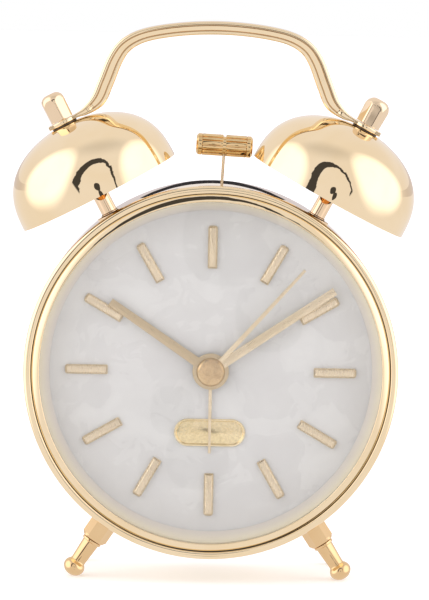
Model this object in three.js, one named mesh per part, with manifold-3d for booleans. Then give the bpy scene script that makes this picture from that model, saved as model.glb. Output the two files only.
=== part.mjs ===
// Twin-bell alarm clock: a round drum case on splayed feet, two bells bridged by a bow handle,
// a hammer between the bells, a quartz movement with four hands, and a battery driven striker.
// Millimetres, +Z up, the dial faces -Y. The origin is on the surface that the clock stands on,
// under the middle of its bounding box.

import * as THREE from 'three';
import { mergeVertices } from 'three/addons/utils/BufferGeometryUtils.js';
import Module from 'manifold-3d';

const wasm = await Module();
wasm.setup();

// ---- Driving dimensions ---------------------------------------------------------------------
// "Depth" is measured backwards from the front plane of the bezel, radii from the dial's centre.

const DIAL_HEIGHT = 62.1; // dial centre above the surface
const CASE_RADIUS = 53.8; // outside of the drum
const CASE_WALL = 0.9;
const CASE_BACK = 45; // depth of the drum's rear edge
const BEZEL_RADIUS = 54.7;
const BEZEL_OPENING = 50.0; // clear radius in front of the lens
const DIAL_DEPTH = 8.0; // depth of the dial's face
const DIAL_VISIBLE_RADIUS = 46.8;
const STRIKER_DEPTH = 22; // plane of the posts, bells, handle and hammer
const FOOT_DEPTH = 15;
const BELL_RADIUS = 24.9;
const BELL_HEIGHT = 22.5;
const BELL_WALL = 0.8;
const BELL_TILT = 28; // degrees from vertical
const POST_ANGLE = 34.2; // degrees from vertical, where a post meets the case
const RIM_RISE = 7.3; // post base to the bell's rim plane, along the post
const FOOT_ANGLE = 33.5; // degrees from vertical
const HAMMER_REACH = 60; // hammer pivot to the middle of its head
const HAMMER_REST_TILT = 2.82; // degrees, clockwise from the front
const PIVOT_HEIGHT = 5.5; // hammer pivot above the dial's centre
const KNOB_BACK = 53.5; // depth of the setting knobs' faces
const SHAFT_OFFSET = 12; // setting shafts, left and right of the centre
const GAP = 0.2; // clearance between fixed neighbours

const FRONT_PROJECTION = BELL_RADIUS - STRIKER_DEPTH; // the bells stand in front of the bezel
const FRONT_Y = -(KNOB_BACK - FRONT_PROJECTION) / 2; // centres the clock front to back

const LARGE = 48; // facets round the case
const MEDIUM = 32;
const SMALL = 20;
const TINY = 12;

// ---- Finishes -------------------------------------------------------------------------------

function finish(color, roughness, metalness) {
  return new THREE.MeshStandardMaterial({ color, roughness, metalness });
}

const polishedGold = finish(0xe8d2a5, 0.12, 1);
const deepGold = finish(0xdfb477, 0.18, 1);
const satinGold = finish(0xd2c09a, 0.35, 1);
const steel = finish(0xb8bbbd, 0.3, 1);
const brass = finish(0xc9a552, 0.3, 1);
const copper = finish(0xb06a3b, 0.4, 1);
const pearl = finish(0xdad7d5, 0.35, 0);
const rehautBeige = finish(0xd0c8be, 0.5, 0);
const glass = finish(0xf4f8f8, 0.03, 0);
const creamPlastic = finish(0xe9dfc9, 0.4, 0);
const whitePlastic = finish(0xe6e6e2, 0.5, 0);
const boardGreen = finish(0x2e6b45, 0.5, 0);
const batteryGrey = finish(0x6f7378, 0.4, 0);

// ---- Solids ---------------------------------------------------------------------------------

// Welds a geometry's corners, drops collapsed triangles and turns its faces outwards.
function weld(geometry) {
  const bare = geometry.clone();
  bare.deleteAttribute('normal');
  bare.deleteAttribute('uv');
  const merged = mergeVertices(bare, 1e-4);
  const place = merged.attributes.position;
  const kept = [];
  let volume = 0;
  const corner = [new THREE.Vector3(), new THREE.Vector3(), new THREE.Vector3()];
  for (let i = 0; i < merged.index.count; i += 3) {
    const [a, b, c] = [0, 1, 2].map((k) => merged.index.getX(i + k));
    if (a === b || b === c || c === a) continue;
    kept.push(a, b, c);
    corner[0].fromBufferAttribute(place, a);
    corner[1].fromBufferAttribute(place, b);
    corner[2].fromBufferAttribute(place, c);
    volume += corner[0].dot(corner[1].cross(corner[2]));
  }
  if (volume < 0) kept.reverse();
  const solid = new THREE.BufferGeometry();
  solid.setAttribute('position', new THREE.BufferAttribute(new Float32Array(place.array), 3));
  solid.setIndex(kept);
  return solid;
}

function toManifold(geometry) {
  const solid = weld(geometry);
  return new wasm.Manifold(new wasm.Mesh({
    numProp: 3,
    vertProperties: solid.attributes.position.array,
    triVerts: new Uint32Array(solid.index.array),
  }));
}

function fromManifold(manifold) {
  const mesh = manifold.getMesh();
  const solid = new THREE.BufferGeometry();
  solid.setAttribute('position', new THREE.BufferAttribute(new Float32Array(mesh.vertProperties), 3));
  solid.setIndex(Array.from(mesh.triVerts));
  return solid;
}

function join(first, ...others) {
  return fromManifold(others.reduce((sum, other) => sum.add(toManifold(other)), toManifold(first)));
}

function cut(first, ...others) {
  return fromManifold(others.reduce((left, other) => left.subtract(toManifold(other)), toManifold(first)));
}

function common(first, second) {
  return fromManifold(toManifold(first).intersect(toManifold(second)));
}

// A body of revolution about Y from a closed list of [radius, y] corners. Corners on the axis
// close it by themselves; a ring's first corner is repeated to close its section.
function turned(corners, facets) {
  const points = corners.map(([r, y]) => new THREE.Vector2(r, y));
  if (corners[0][0] > 0) points.push(points[0].clone());
  return new THREE.LatheGeometry(points, facets);
}

function disc(radius, from, to, facets) {
  return turned([[0, from], [radius, from], [radius, to], [0, to]], facets);
}

function ring(inner, outer, from, to, facets) {
  return turned([[inner, from], [outer, from], [outer, to], [inner, to]], facets);
}

function box(width, depth, height, x, y, z) {
  return new THREE.BoxGeometry(width, depth, height).translate(x, y, z);
}

// Extrudes an outline drawn in x and z through a stretch of depth.
function plate(outline, from, to, options = {}) {
  const bevel = options.bevel ?? 0;
  const geometry = new THREE.ExtrudeGeometry(outline, {
    depth: to - from - 2 * bevel,
    bevelEnabled: bevel > 0,
    bevelThickness: bevel,
    bevelSize: bevel,
    bevelOffset: -bevel,
    bevelSegments: options.bevelSegments ?? 1,
    curveSegments: options.curveSegments ?? 6,
  });
  return geometry.rotateX(Math.PI / 2).translate(0, to - bevel, 0);
}

function roundedRectangle(width, height, radius, x = 0, z = 0) {
  const [w, h] = [width / 2, height / 2];
  const outline = new THREE.Shape();
  outline.moveTo(x - w + radius, z - h);
  outline.lineTo(x + w - radius, z - h);
  outline.absarc(x + w - radius, z - h + radius, radius, -Math.PI / 2, 0);
  outline.lineTo(x + w, z + h - radius);
  outline.absarc(x + w - radius, z + h - radius, radius, 0, Math.PI / 2);
  outline.lineTo(x - w + radius, z + h);
  outline.absarc(x - w + radius, z + h - radius, radius, Math.PI / 2, Math.PI);
  outline.lineTo(x - w, z - h + radius);
  outline.absarc(x - w + radius, z - h + radius, radius, Math.PI, 1.5 * Math.PI);
  return outline;
}

function rectangle(width, height, z) {
  const [w, h] = [width / 2, height / 2];
  return new THREE.Shape([
    new THREE.Vector2(-w, z - h),
    new THREE.Vector2(w, z - h),
    new THREE.Vector2(w, z + h),
    new THREE.Vector2(-w, z + h),
  ]);
}

function circle(radius, x = 0, z = 0) {
  const outline = new THREE.Path();
  outline.absarc(x, z, radius, 0, 2 * Math.PI, true);
  return outline;
}

// Points on an arc of a [radius, y] section, from one angle to another in degrees.
function arc(centreR, centreY, radius, from, to, steps) {
  const points = [];
  for (let i = 0; i <= steps; i += 1) {
    const angle = THREE.MathUtils.degToRad(from + ((to - from) * i) / steps);
    points.push([centreR + radius * Math.cos(angle), centreY + radius * Math.sin(angle)]);
  }
  return points;
}

const clock = new THREE.Group();
clock.position.set(0, FRONT_Y, DIAL_HEIGHT);

function add(name, geometry, material, parent = clock) {
  const mesh = new THREE.Mesh(weld(geometry), material);
  mesh.name = name;
  parent.add(mesh);
  return mesh;
}

// A group turned clockwise, as seen from the front, about a point of the clock's front plane.
function turnedGroup(degrees, x = 0, z = 0, depth = 0) {
  const group = new THREE.Group();
  group.position.set(x, depth, z);
  group.rotation.y = THREE.MathUtils.degToRad(degrees);
  clock.add(group);
  return group;
}

// ---- Case, bezel, lens and dial -------------------------------------------------------------

const RIM_LIP = 50.8; // radius of the drum's turned-in rear lip
const SEAT_RADIUS = 51.0; // ledge inside the drum that the dial rests on
const CASE_INSIDE = CASE_RADIUS - CASE_WALL;
const STUD_RADIUS = 1.4;
const STUD_HOLE = 1.7;
const SCREW_CIRCLE = 43.5;
const SCREW_ANGLES = [60, 180, 300]; // degrees clockwise from the top

// A rod that crosses the drum's wall, along a direction turned from straight up.
function radialRod(radius, degrees, depth, from, to) {
  const rod = disc(radius, from, to, TINY).rotateX(Math.PI / 2);
  return rod.rotateY(THREE.MathUtils.degToRad(degrees)).translate(0, depth, 0);
}

const postBase = new THREE.Vector3(
  CASE_RADIUS * Math.sin(THREE.MathUtils.degToRad(POST_ANGLE)),
  STRIKER_DEPTH,
  CASE_RADIUS * Math.cos(THREE.MathUtils.degToRad(POST_ANGLE)),
);

// A rod along a bell's axis; distances are measured from the foot of the post.
function bellRod(radius, side, from, to) {
  const rod = disc(radius, from, to, TINY).rotateX(Math.PI / 2);
  rod.rotateY(THREE.MathUtils.degToRad(side * BELL_TILT));
  return rod.translate(side * postBase.x, postBase.y, postBase.z);
}

function makeCase() {
  const drum = turned([
    [CASE_RADIUS, 4.0],
    [CASE_RADIUS, CASE_BACK - 1.4],
    [CASE_RADIUS - 0.5, CASE_BACK - 0.5],
    [CASE_RADIUS - 1.5, CASE_BACK],
    [RIM_LIP, CASE_BACK],
    [RIM_LIP, CASE_BACK - CASE_WALL],
    [CASE_INSIDE, CASE_BACK - 1.9],
    [CASE_INSIDE, 10.4],
    [SEAT_RADIUS, 10.4],
    [SEAT_RADIUS, 9.2],
    [CASE_INSIDE, 9.2],
    [CASE_INSIDE, 4.0],
  ], LARGE);
  const lugs = SCREW_ANGLES.map((degrees) => {
    const lug = box(8, 4.6, 11.2, 0, 38.3, CASE_INSIDE - 5.2);
    return lug.rotateY(THREE.MathUtils.degToRad(degrees));
  });
  const lugHoles = SCREW_ANGLES.map((degrees) => {
    const hole = disc(1.35, 35, 42, TINY).translate(0, 0, SCREW_CIRCLE);
    return hole.rotateY(THREE.MathUtils.degToRad(degrees));
  });
  const hammerSlot = box(13, 3.4, 10, 0, STRIKER_DEPTH, CASE_RADIUS);
  const studHoles = [
    bellRod(STUD_HOLE, -1, -6, 4),
    bellRod(STUD_HOLE, 1, -6, 4),
    radialRod(STUD_HOLE, 180 - FOOT_ANGLE, FOOT_DEPTH, CASE_RADIUS - 5, CASE_RADIUS + 5),
    radialRod(STUD_HOLE, 180 + FOOT_ANGLE, FOOT_DEPTH, CASE_RADIUS - 5, CASE_RADIUS + 5),
  ];
  add('case_shell', cut(join(drum, ...lugs), ...lugHoles, hammerSlot, ...studHoles), polishedGold);
}

function makeBezel() {
  const skirtInside = CASE_RADIUS + 0.3;
  add('front_bezel', turned([
    [skirtInside, 6.2],
    [BEZEL_RADIUS, 6.2],
    ...arc(BEZEL_RADIUS - 1.0, 1.0, 1.0, 0, -140, 3),
    [52.75, 0.8],
    [52.5, 0.5],
    [BEZEL_OPENING, 1.7],
    [BEZEL_OPENING, 2.1],
    [52.1, 2.1],
    [52.1, 3.5],
    [skirtInside, 3.5],
  ], LARGE), polishedGold);
}

function makeLensAndDial() {
  add('lens', disc(51.8, 2.3, 3.3, LARGE), glass);
  add('dial_ring', turned([
    [BEZEL_OPENING, 3.6],
    [52.5, 3.6],
    [52.5, DIAL_DEPTH - GAP],
    [DIAL_VISIBLE_RADIUS, DIAL_DEPTH - GAP],
  ], LARGE), rehautBeige);
  add('dial_plate', ring(4.0, 52.5, DIAL_DEPTH, DIAL_DEPTH + 1, LARGE), pearl);
}

function makeMarkers() {
  const [width, length, rise] = [3.0, 13.0, 1.4];
  const middle = 36.8;
  for (let hour = 1; hour <= 12; hour += 1) {
    const name = `hour_marker_${String(hour).padStart(2, '0')}`;
    const outline = rectangle(width, length, middle);
    const bar = plate(outline, DIAL_DEPTH - rise, DIAL_DEPTH - 0.05, { bevel: 0.35 });
    add(name, bar, satinGold, turnedGroup(hour * 30));
  }
}

function makeBadge() {
  const [width, height, z] = [20.7, 8.0, -18.4];
  const outside = plate(roundedRectangle(width, height, height / 2, 0, z), 7.4, 7.95, { curveSegments: 5 });
  const recess = roundedRectangle(width - 1.4, height - 1.4, height / 2 - 0.7, 0, z);
  add('name_plate', cut(outside, plate(recess, 7.0, 7.65, { curveSegments: 5 })), deepGold);
}

// ---- Hands and the wheels that carry them ---------------------------------------------------

// Concentric tubes, from the middle outwards: second arbor, minute, hour and alarm tubes.
const TUBES = {
  second: { inner: 0, outer: 0.5 },
  minute: { inner: 0.65, outer: 1.15 },
  hour: { inner: 1.3, outer: 1.8 },
  alarm: { inner: 1.95, outer: 2.5 },
};
const HAND_FIT = 0.05; // radial clearance of a hand on its tube

// Depth of each hand's front face and its thickness.
const ALARM_HAND = { front: 6.9, thickness: 0.3, length: 24, angle: 180 };
const HOUR_HAND = { front: 6.0, thickness: 0.35, length: 35.5, angle: -56 };
const MINUTE_HAND = { front: 5.2, thickness: 0.35, length: 43.1, angle: 56 };
const SECOND_HAND = { front: 4.5, thickness: 0.3, length: 40.5, angle: 41.8 };
const CAP_FRONT = 3.6;
const CAP_RADIUS = 4.2;

// A flat hand with a round hub; the blade tapers from its root to its tip.
function handBlade(rootWidth, tipWidth, length) {
  const outline = new THREE.Shape();
  outline.moveTo(-rootWidth / 2, 0);
  outline.lineTo(rootWidth / 2, 0);
  outline.lineTo(tipWidth / 2, length);
  outline.lineTo(-tipWidth / 2, length);
  return outline;
}

function makeHand(name, hand, hubRadius, blade, tube, material) {
  const back = hand.front + hand.thickness;
  const hub = disc(hubRadius, hand.front, back, SMALL);
  const whole = join(hub, plate(blade, hand.front, back));
  const hole = disc(tube.outer + HAND_FIT, hand.front - 1, back + 1, TINY);
  add(name, cut(whole, hole), material, turnedGroup(hand.angle));
}

function makeHands() {
  makeHand('alarm_hand', ALARM_HAND, 3.8, handBlade(1.0, 0.6, ALARM_HAND.length), TUBES.alarm, satinGold);
  makeHand('hour_hand', HOUR_HAND, 5.3, handBlade(2.8, 2.3, HOUR_HAND.length), TUBES.hour, satinGold);
  makeHand('minute_hand', MINUTE_HAND, 3.6, handBlade(2.7, 2.3, MINUTE_HAND.length), TUBES.minute, satinGold);
  const back = SECOND_HAND.front + SECOND_HAND.thickness;
  const cap = turned([
    [0, CAP_FRONT],
    [CAP_RADIUS - 0.5, CAP_FRONT],
    [CAP_RADIUS, CAP_FRONT + 0.4],
    [CAP_RADIUS, back],
    [0, back],
  ], SMALL);
  const blade = plate(handBlade(1.6, 0.8, SECOND_HAND.length), SECOND_HAND.front, back);
  add('second_hand', join(cap, blade), deepGold, turnedGroup(SECOND_HAND.angle));
}

// A wheel with pointed teeth on its pitch circle; depth runs from its front face to its back.
function toothed(teeth, pitchRadius, from, to, phase = 0) {
  const outline = new THREE.Shape();
  const pitch = (2 * Math.PI) / teeth;
  const height = 0.34 * pitchRadius * pitch;
  const tipRadius = pitchRadius + height;
  const rootRadius = pitchRadius - 1.3 * height;
  for (let i = 0; i < teeth; i += 1) {
    const tip = (i + phase) * pitch;
    const root = tip + pitch / 2;
    const step = i === 0 ? 'moveTo' : 'lineTo';
    outline[step](tipRadius * Math.cos(tip), tipRadius * Math.sin(tip));
    outline.lineTo(rootRadius * Math.cos(root), rootRadius * Math.sin(root));
  }
  return plate(outline, from, to);
}

// Tooth counts and pitch radii. The motion work divides by twelve: 36/12 x 48/12.
const ALARM_TEETH = { teeth: 32, radius: SHAFT_OFFSET / 2 };
const MINUTE_PINION = { teeth: 12, radius: SHAFT_OFFSET / 4 };
const MOTION_WHEEL = { teeth: 36, radius: (SHAFT_OFFSET * 3) / 4 };
const MOTION_PINION = { teeth: 12, radius: SHAFT_OFFSET / 5 };
const HOUR_WHEEL = { teeth: 48, radius: (SHAFT_OFFSET * 4) / 5 };
const SECOND_WHEEL = { teeth: 60, radius: 7.5 };
const MIDDLE_PINION = { teeth: 12, radius: 1.5 };
const MIDDLE_WHEEL = { teeth: 48, radius: 6.0 };
const ROTOR_PINION = { teeth: 8, radius: 1.0 };

function bored(solid, radius, from, to) {
  return radius > 0 ? cut(solid, disc(radius, from, to, TINY)) : solid;
}

function makeHandWheels() {
  const alarm = toothed(ALARM_TEETH.teeth, ALARM_TEETH.radius, 11.4, 12.2);
  const hour = toothed(HOUR_WHEEL.teeth, HOUR_WHEEL.radius, 12.8, 13.6);
  const minute = toothed(MINUTE_PINION.teeth, MINUTE_PINION.radius, 14.2, 15.6);
  const second = toothed(SECOND_WHEEL.teeth, SECOND_WHEEL.radius, 17.0, 17.8);
  const works = [
    ['alarm_wheel', alarm, TUBES.alarm, ALARM_HAND.front, 12.2, brass],
    ['hour_wheel', hour, TUBES.hour, HOUR_HAND.front, 13.6, brass],
    ['minute_wheel', minute, TUBES.minute, MINUTE_HAND.front, 15.6, brass],
    ['second_wheel', second, TUBES.second, SECOND_HAND.front + SECOND_HAND.thickness + 0.1, 17.8, brass],
  ];
  for (const [name, wheel, sleeve, front, back, material] of works) {
    const solid = join(wheel, disc(sleeve.outer, front, back, TINY));
    add(name, bored(solid, sleeve.inner, front - 1, back + 1), material);
  }
}

// ---- Movement -------------------------------------------------------------------------------

const MOVEMENT_SIZE = 52;
const MOVEMENT_FRONT = 9.8;
const MOVEMENT_SPLIT = 18;
const MOVEMENT_BACK = 26.3;
const MOVEMENT_WALL = 1.2;
const SHAFT_RADIUS = 1.5;
const LEVER_FRONT = 28.0; // the hammer lever works just behind the movement
const LEVER_BACK = 29.2;
const PIVOT_PIN = 1.4;

// Where the intermediate wheel and the rotor stand, up and to the right of the centre.
const middleArbor = new THREE.Vector2(1, 1).setLength(SECOND_WHEEL.radius + MIDDLE_PINION.radius);
const rotorArbor = middleArbor.clone().add(new THREE.Vector2(0, MIDDLE_WHEEL.radius + ROTOR_PINION.radius));

function makeMovementCase() {
  const outline = roundedRectangle(MOVEMENT_SIZE, MOVEMENT_SIZE, 3);
  const inside = roundedRectangle(MOVEMENT_SIZE - 2 * MOVEMENT_WALL, MOVEMENT_SIZE - 2 * MOVEMENT_WALL, 1.8);
  const frontShell = cut(
    plate(outline, MOVEMENT_FRONT, MOVEMENT_SPLIT - 0.1, { curveSegments: 2 }),
    plate(inside, MOVEMENT_FRONT + MOVEMENT_WALL, MOVEMENT_SPLIT + 1, { curveSegments: 2 }),
  );
  const boss = disc(3.7, DIAL_DEPTH + 0.1, MOVEMENT_FRONT + 0.5, SMALL);
  const bore = disc(TUBES.alarm.outer + 0.15, 7, 12, TINY);
  add('movement_front_case', cut(join(frontShell, boss), bore), whitePlastic);

  const rearShell = cut(
    plate(outline, MOVEMENT_SPLIT + 0.1, MOVEMENT_BACK, { curveSegments: 2 }),
    plate(inside, MOVEMENT_SPLIT - 1, MOVEMENT_BACK - MOVEMENT_WALL, { curveSegments: 2 }),
  );
  const pivot = disc(PIVOT_PIN, MOVEMENT_BACK - 0.5, 30.4, TINY).translate(0, 0, PIVOT_HEIGHT);
  const shaftHoles = [-1, 1].map((side) => (
    disc(SHAFT_RADIUS + 0.3, 24, 28, TINY).translate(side * SHAFT_OFFSET, 0, 0)
  ));
  add('movement_rear_case', cut(join(rearShell, pivot), ...shaftHoles), whitePlastic);
}

function makeTrain() {
  const wheel = toothed(MIDDLE_WHEEL.teeth, MIDDLE_WHEEL.radius, 18.6, 19.4);
  const pinion = toothed(MIDDLE_PINION.teeth, MIDDLE_PINION.radius, 16.8, 18.0, 0.5);
  const middle = join(wheel, pinion, disc(0.6, 16.2, 20.6, TINY));
  add('intermediate_wheel', middle.translate(middleArbor.x, 0, middleArbor.y), brass);

  const rotorPinion = toothed(ROTOR_PINION.teeth, ROTOR_PINION.radius, 18.4, 19.6, 0.5);
  const magnet = disc(3.0, 20.4, 22.4, SMALL);
  const rotor = join(rotorPinion, magnet, disc(0.5, 17.6, 23.4, TINY));
  add('rotor', rotor.translate(rotorArbor.x, 0, rotorArbor.y), steel);
}

function makeStatorAndCoil() {
  const coilMiddle = -8.75;
  const barHeight = 21; // the stator's upper bar, which the coil is wound on
  const outline = new THREE.Shape();
  outline.moveTo(-20, 9.5);
  outline.lineTo(12, 9.5);
  outline.lineTo(12, barHeight + 1.5);
  outline.lineTo(-20, barHeight + 1.5);
  const window = new THREE.Path();
  window.moveTo(-17.5, barHeight - 4.2);
  window.lineTo(-17.5, barHeight - 1.5);
  window.lineTo(0, barHeight - 1.5);
  window.lineTo(0, barHeight - 4.2);
  outline.holes.push(window, circle(3.6, rotorArbor.x, rotorArbor.y));
  add('stator', plate(outline, 20.6, 22.2, { curveSegments: 10 }), steel);

  const winding = turned([[2.0, -7.5], [3.0, -7.5], [3.0, 7.5], [2.0, 7.5]], SMALL);
  winding.rotateZ(Math.PI / 2);
  add('drive_coil', winding.translate(coilMiddle, 21.4, barHeight), copper);
}

function makeBoard() {
  const board = box(44, 0.8, 16, 0, 23.6, -14);
  const chip = disc(3.5, 22.6, 23.4, SMALL).translate(4, 0, -14);
  add('circuit_board', join(board, chip), boardGreen);
}

// ---- Setting knobs, switch, rear cover, battery ---------------------------------------------

const COVER_RADIUS = 50.4;
const COVER_BACK = 45.8;
const COVER_WALL = 1.5;
const COVER_FRONT = COVER_BACK - COVER_WALL;
const BATTERY = { radius: 7.1, length: 50, z: -28, depth: 36.6 };
const DOOR = { width: 58, height: 18.4 };
const SWITCH_HEIGHT = 22;
const SWITCH_TRAVEL = 4;
const MOTOR = { radius: 7, x: 0, z: 38, front: 31.8, back: 43.6 };
// Two rear feet, straight behind the front legs.
const REAR_FOOT = { width: 3.6, front: 45.6, back: 49.6, from: 47, inset: 2.2 };

function makeSettingWork() {
  const motionBack = 15.4;
  const motion = join(
    toothed(MOTION_WHEEL.teeth, MOTION_WHEEL.radius, 14.4, motionBack, 0.5),
    toothed(MOTION_PINION.teeth, MOTION_PINION.radius, 12.6, 14.6, 0.5),
    disc(SHAFT_RADIUS, 12.2, 48, TINY),
  );
  add('motion_wheel', motion.translate(-SHAFT_OFFSET, 0, 0), brass);
  const alarmSetting = join(
    toothed(ALARM_TEETH.teeth, ALARM_TEETH.radius, 11.4, 12.2, 0.5),
    disc(SHAFT_RADIUS, 11.2, 48, TINY),
  );
  add('alarm_setting_wheel', alarmSetting.translate(SHAFT_OFFSET, 0, 0), brass);

  for (const [name, side] of [['time_set_knob', -1], ['alarm_set_knob', 1]]) {
    const knob = turned([
      [0, KNOB_BACK],
      [5.4, KNOB_BACK],
      [6.2, KNOB_BACK - 0.8],
      [6.4, 47.2],
      [5.6, 46.4],
      [2.6, 46.4],
      [2.6, 44.0],
      [SHAFT_RADIUS + 0.05, 44.0],
      [SHAFT_RADIUS + 0.05, 48.1],
      [0, 48.1],
    ], SMALL);
    add(name, knob.translate(side * SHAFT_OFFSET, 0, 0), creamPlastic);
  }
}

function makeSwitch() {
  const x = -SWITCH_TRAVEL / 2;
  const slider = join(
    box(7, 1.0, 5.6, x, 43.4, SWITCH_HEIGHT),
    box(3.0, 4.4, 2.6, x, 45.4, SWITCH_HEIGHT),
    box(4.2, 1.8, 3.6, x, 47.0, SWITCH_HEIGHT),
  );
  add('alarm_switch', slider, creamPlastic);
}

function makeRearCover() {
  const cover = turned([
    [0, COVER_BACK],
    [COVER_RADIUS - 1, COVER_BACK],
    [COVER_RADIUS, COVER_BACK - 1],
    [COVER_RADIUS, 41.2],
    [COVER_RADIUS - 1.2, 41.2],
    [COVER_RADIUS - 1.2, COVER_FRONT],
    [0, COVER_FRONT],
  ], LARGE);
  const wall = 1.4;
  const trayFront = BATTERY.depth - BATTERY.radius - 0.5;
  const tray = box(
    BATTERY.length + 7 + 2 * wall, COVER_BACK - 0.5 - trayFront + wall, DOOR.height + 2 * wall,
    0, (COVER_BACK - 0.5 + trayFront - wall) / 2, BATTERY.z,
  );
  const trayInside = box(BATTERY.length + 5, 20, 2 * BATTERY.radius + 1.2, 0, trayFront + 10, BATTERY.z);
  const doorOpening = box(DOOR.width + 0.6, 4, DOOR.height + 0.6, 0, COVER_FRONT + 2, BATTERY.z);
  const cradle = ring(MOTOR.radius + 0.3, MOTOR.radius + 1.3, 39, COVER_FRONT + 0.3, SMALL);
  cradle.translate(MOTOR.x, 0, MOTOR.z);
  const footDepth = REAR_FOOT.back - REAR_FOOT.front;
  const footMiddle = REAR_FOOT.front + footDepth / 2;
  const footLength = 33;
  const underFloor = box(4 * CASE_RADIUS, 40, 20, 0, footMiddle, -DIAL_HEIGHT - 10);
  const rearFeet = [-1, 1].map((side) => {
    const leg = box(
      REAR_FOOT.width, footDepth, footLength, 0, footMiddle, -REAR_FOOT.from - footLength / 2,
    );
    leg.rotateY(THREE.MathUtils.degToRad(-side * FOOT_ANGLE));
    return cut(leg.translate(-side * REAR_FOOT.inset, 0, 0), underFloor);
  });
  const knobHoles = [-1, 1].map((side) => (
    disc(3.0, 42, 48, TINY).translate(side * SHAFT_OFFSET, 0, 0)
  ));
  const switchSlot = box(3.4 + SWITCH_TRAVEL, 6, 3.0, 0, 45, SWITCH_HEIGHT);
  const screwHoles = SCREW_ANGLES.map((degrees) => {
    const hole = disc(1.5, 42, 52, TINY).translate(0, 0, SCREW_CIRCLE);
    return hole.rotateY(THREE.MathUtils.degToRad(degrees));
  });
  const openings = [trayInside, doorOpening, switchSlot, ...knobHoles, ...screwHoles];
  add('rear_cover', cut(join(cover, tray, cradle, ...rearFeet), ...openings), creamPlastic);
}

function makeBatteryAndDoor() {
  const outline = roundedRectangle(DOOR.width, DOOR.height, 1.2, 0, BATTERY.z);
  const door = plate(outline, COVER_FRONT + 0.15, COVER_BACK);
  const grips = [-1, 0, 1].map((row) => box(10, 1, 0.8, 0, COVER_BACK, BATTERY.z - 5 + row * 1.8));
  add('battery_door', join(door, ...grips), creamPlastic);

  const { radius, length, z, depth } = BATTERY;
  const cell = turned([
    [0, -length / 2],
    [radius - 0.6, -length / 2],
    [radius, -length / 2 + 0.6],
    [radius, length / 2 - 2.2],
    [radius - 0.7, length / 2 - 1.4],
    [2.7, length / 2 - 1.4],
    [2.7, length / 2],
    [0, length / 2],
  ], SMALL).rotateZ(-Math.PI / 2);
  add('battery', cell.translate(1.9, depth, z), batteryGrey);

  const turns = 3.5;
  const points = [];
  for (let i = 0; i <= turns * 8; i += 1) {
    const angle = (i / 8) * 2 * Math.PI;
    const reach = 4.4 - (2.0 * i) / (turns * 8);
    const x = -26.9 + (3.0 * i) / (turns * 8);
    points.push(new THREE.Vector3(x, depth + reach * Math.cos(angle), z + reach * Math.sin(angle)));
  }
  const section = new THREE.Shape().absarc(0, 0, 0.28, 0, 2 * Math.PI);
  const spring = new THREE.ExtrudeGeometry(section, {
    steps: turns * 8,
    curveSegments: 3,
    bevelEnabled: false,
    extrudePath: new THREE.CatmullRomCurve3(points),
  });
  add('battery_spring', spring, steel);
}

function makeScrews() {
  SCREW_ANGLES.forEach((degrees, index) => {
    const back = COVER_BACK;
    const head = turned([
      [0, back + 0.1],
      [2.6, back + 0.1],
      [2.4, back + 1.0],
      [1.6, back + 1.5],
      [0, back + 1.6],
    ], SMALL);
    const screw = join(head, disc(1.2, 36.5, back + 0.3, TINY));
    const group = turnedGroup(degrees);
    add(`rear_screw_${index + 1}`, screw.translate(0, 0, SCREW_CIRCLE), steel, group);
  });
}

// ---- Striker: motor, crank, hammer ----------------------------------------------------------

const CRANK_THROW = 1.6;
const ARM_RADIUS = 0.4;
const HEAD = { length: 16.6, radius: 3.17 };

function makeMotor() {
  const { radius, front, back, x, z } = MOTOR;
  const body = turned([
    [0, back],
    [radius - 0.5, back],
    [radius, back - 0.5],
    [radius, front + 0.5],
    [radius - 0.5, front],
    [1.0, front],
    [1.0, front + 5],
    [0, front + 5],
  ], SMALL);
  add('striker_motor', body.translate(x, 0, z), steel);
  const crank = join(
    disc(3.0, 30.4, 31.3, SMALL),
    disc(1.1, 29.5, 30.6, TINY).translate(CRANK_THROW, 0, 0),
    disc(0.75, 31.0, front + 4.5, TINY),
  );
  add('motor_crank', crank.translate(x, 0, z), brass);
}

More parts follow.
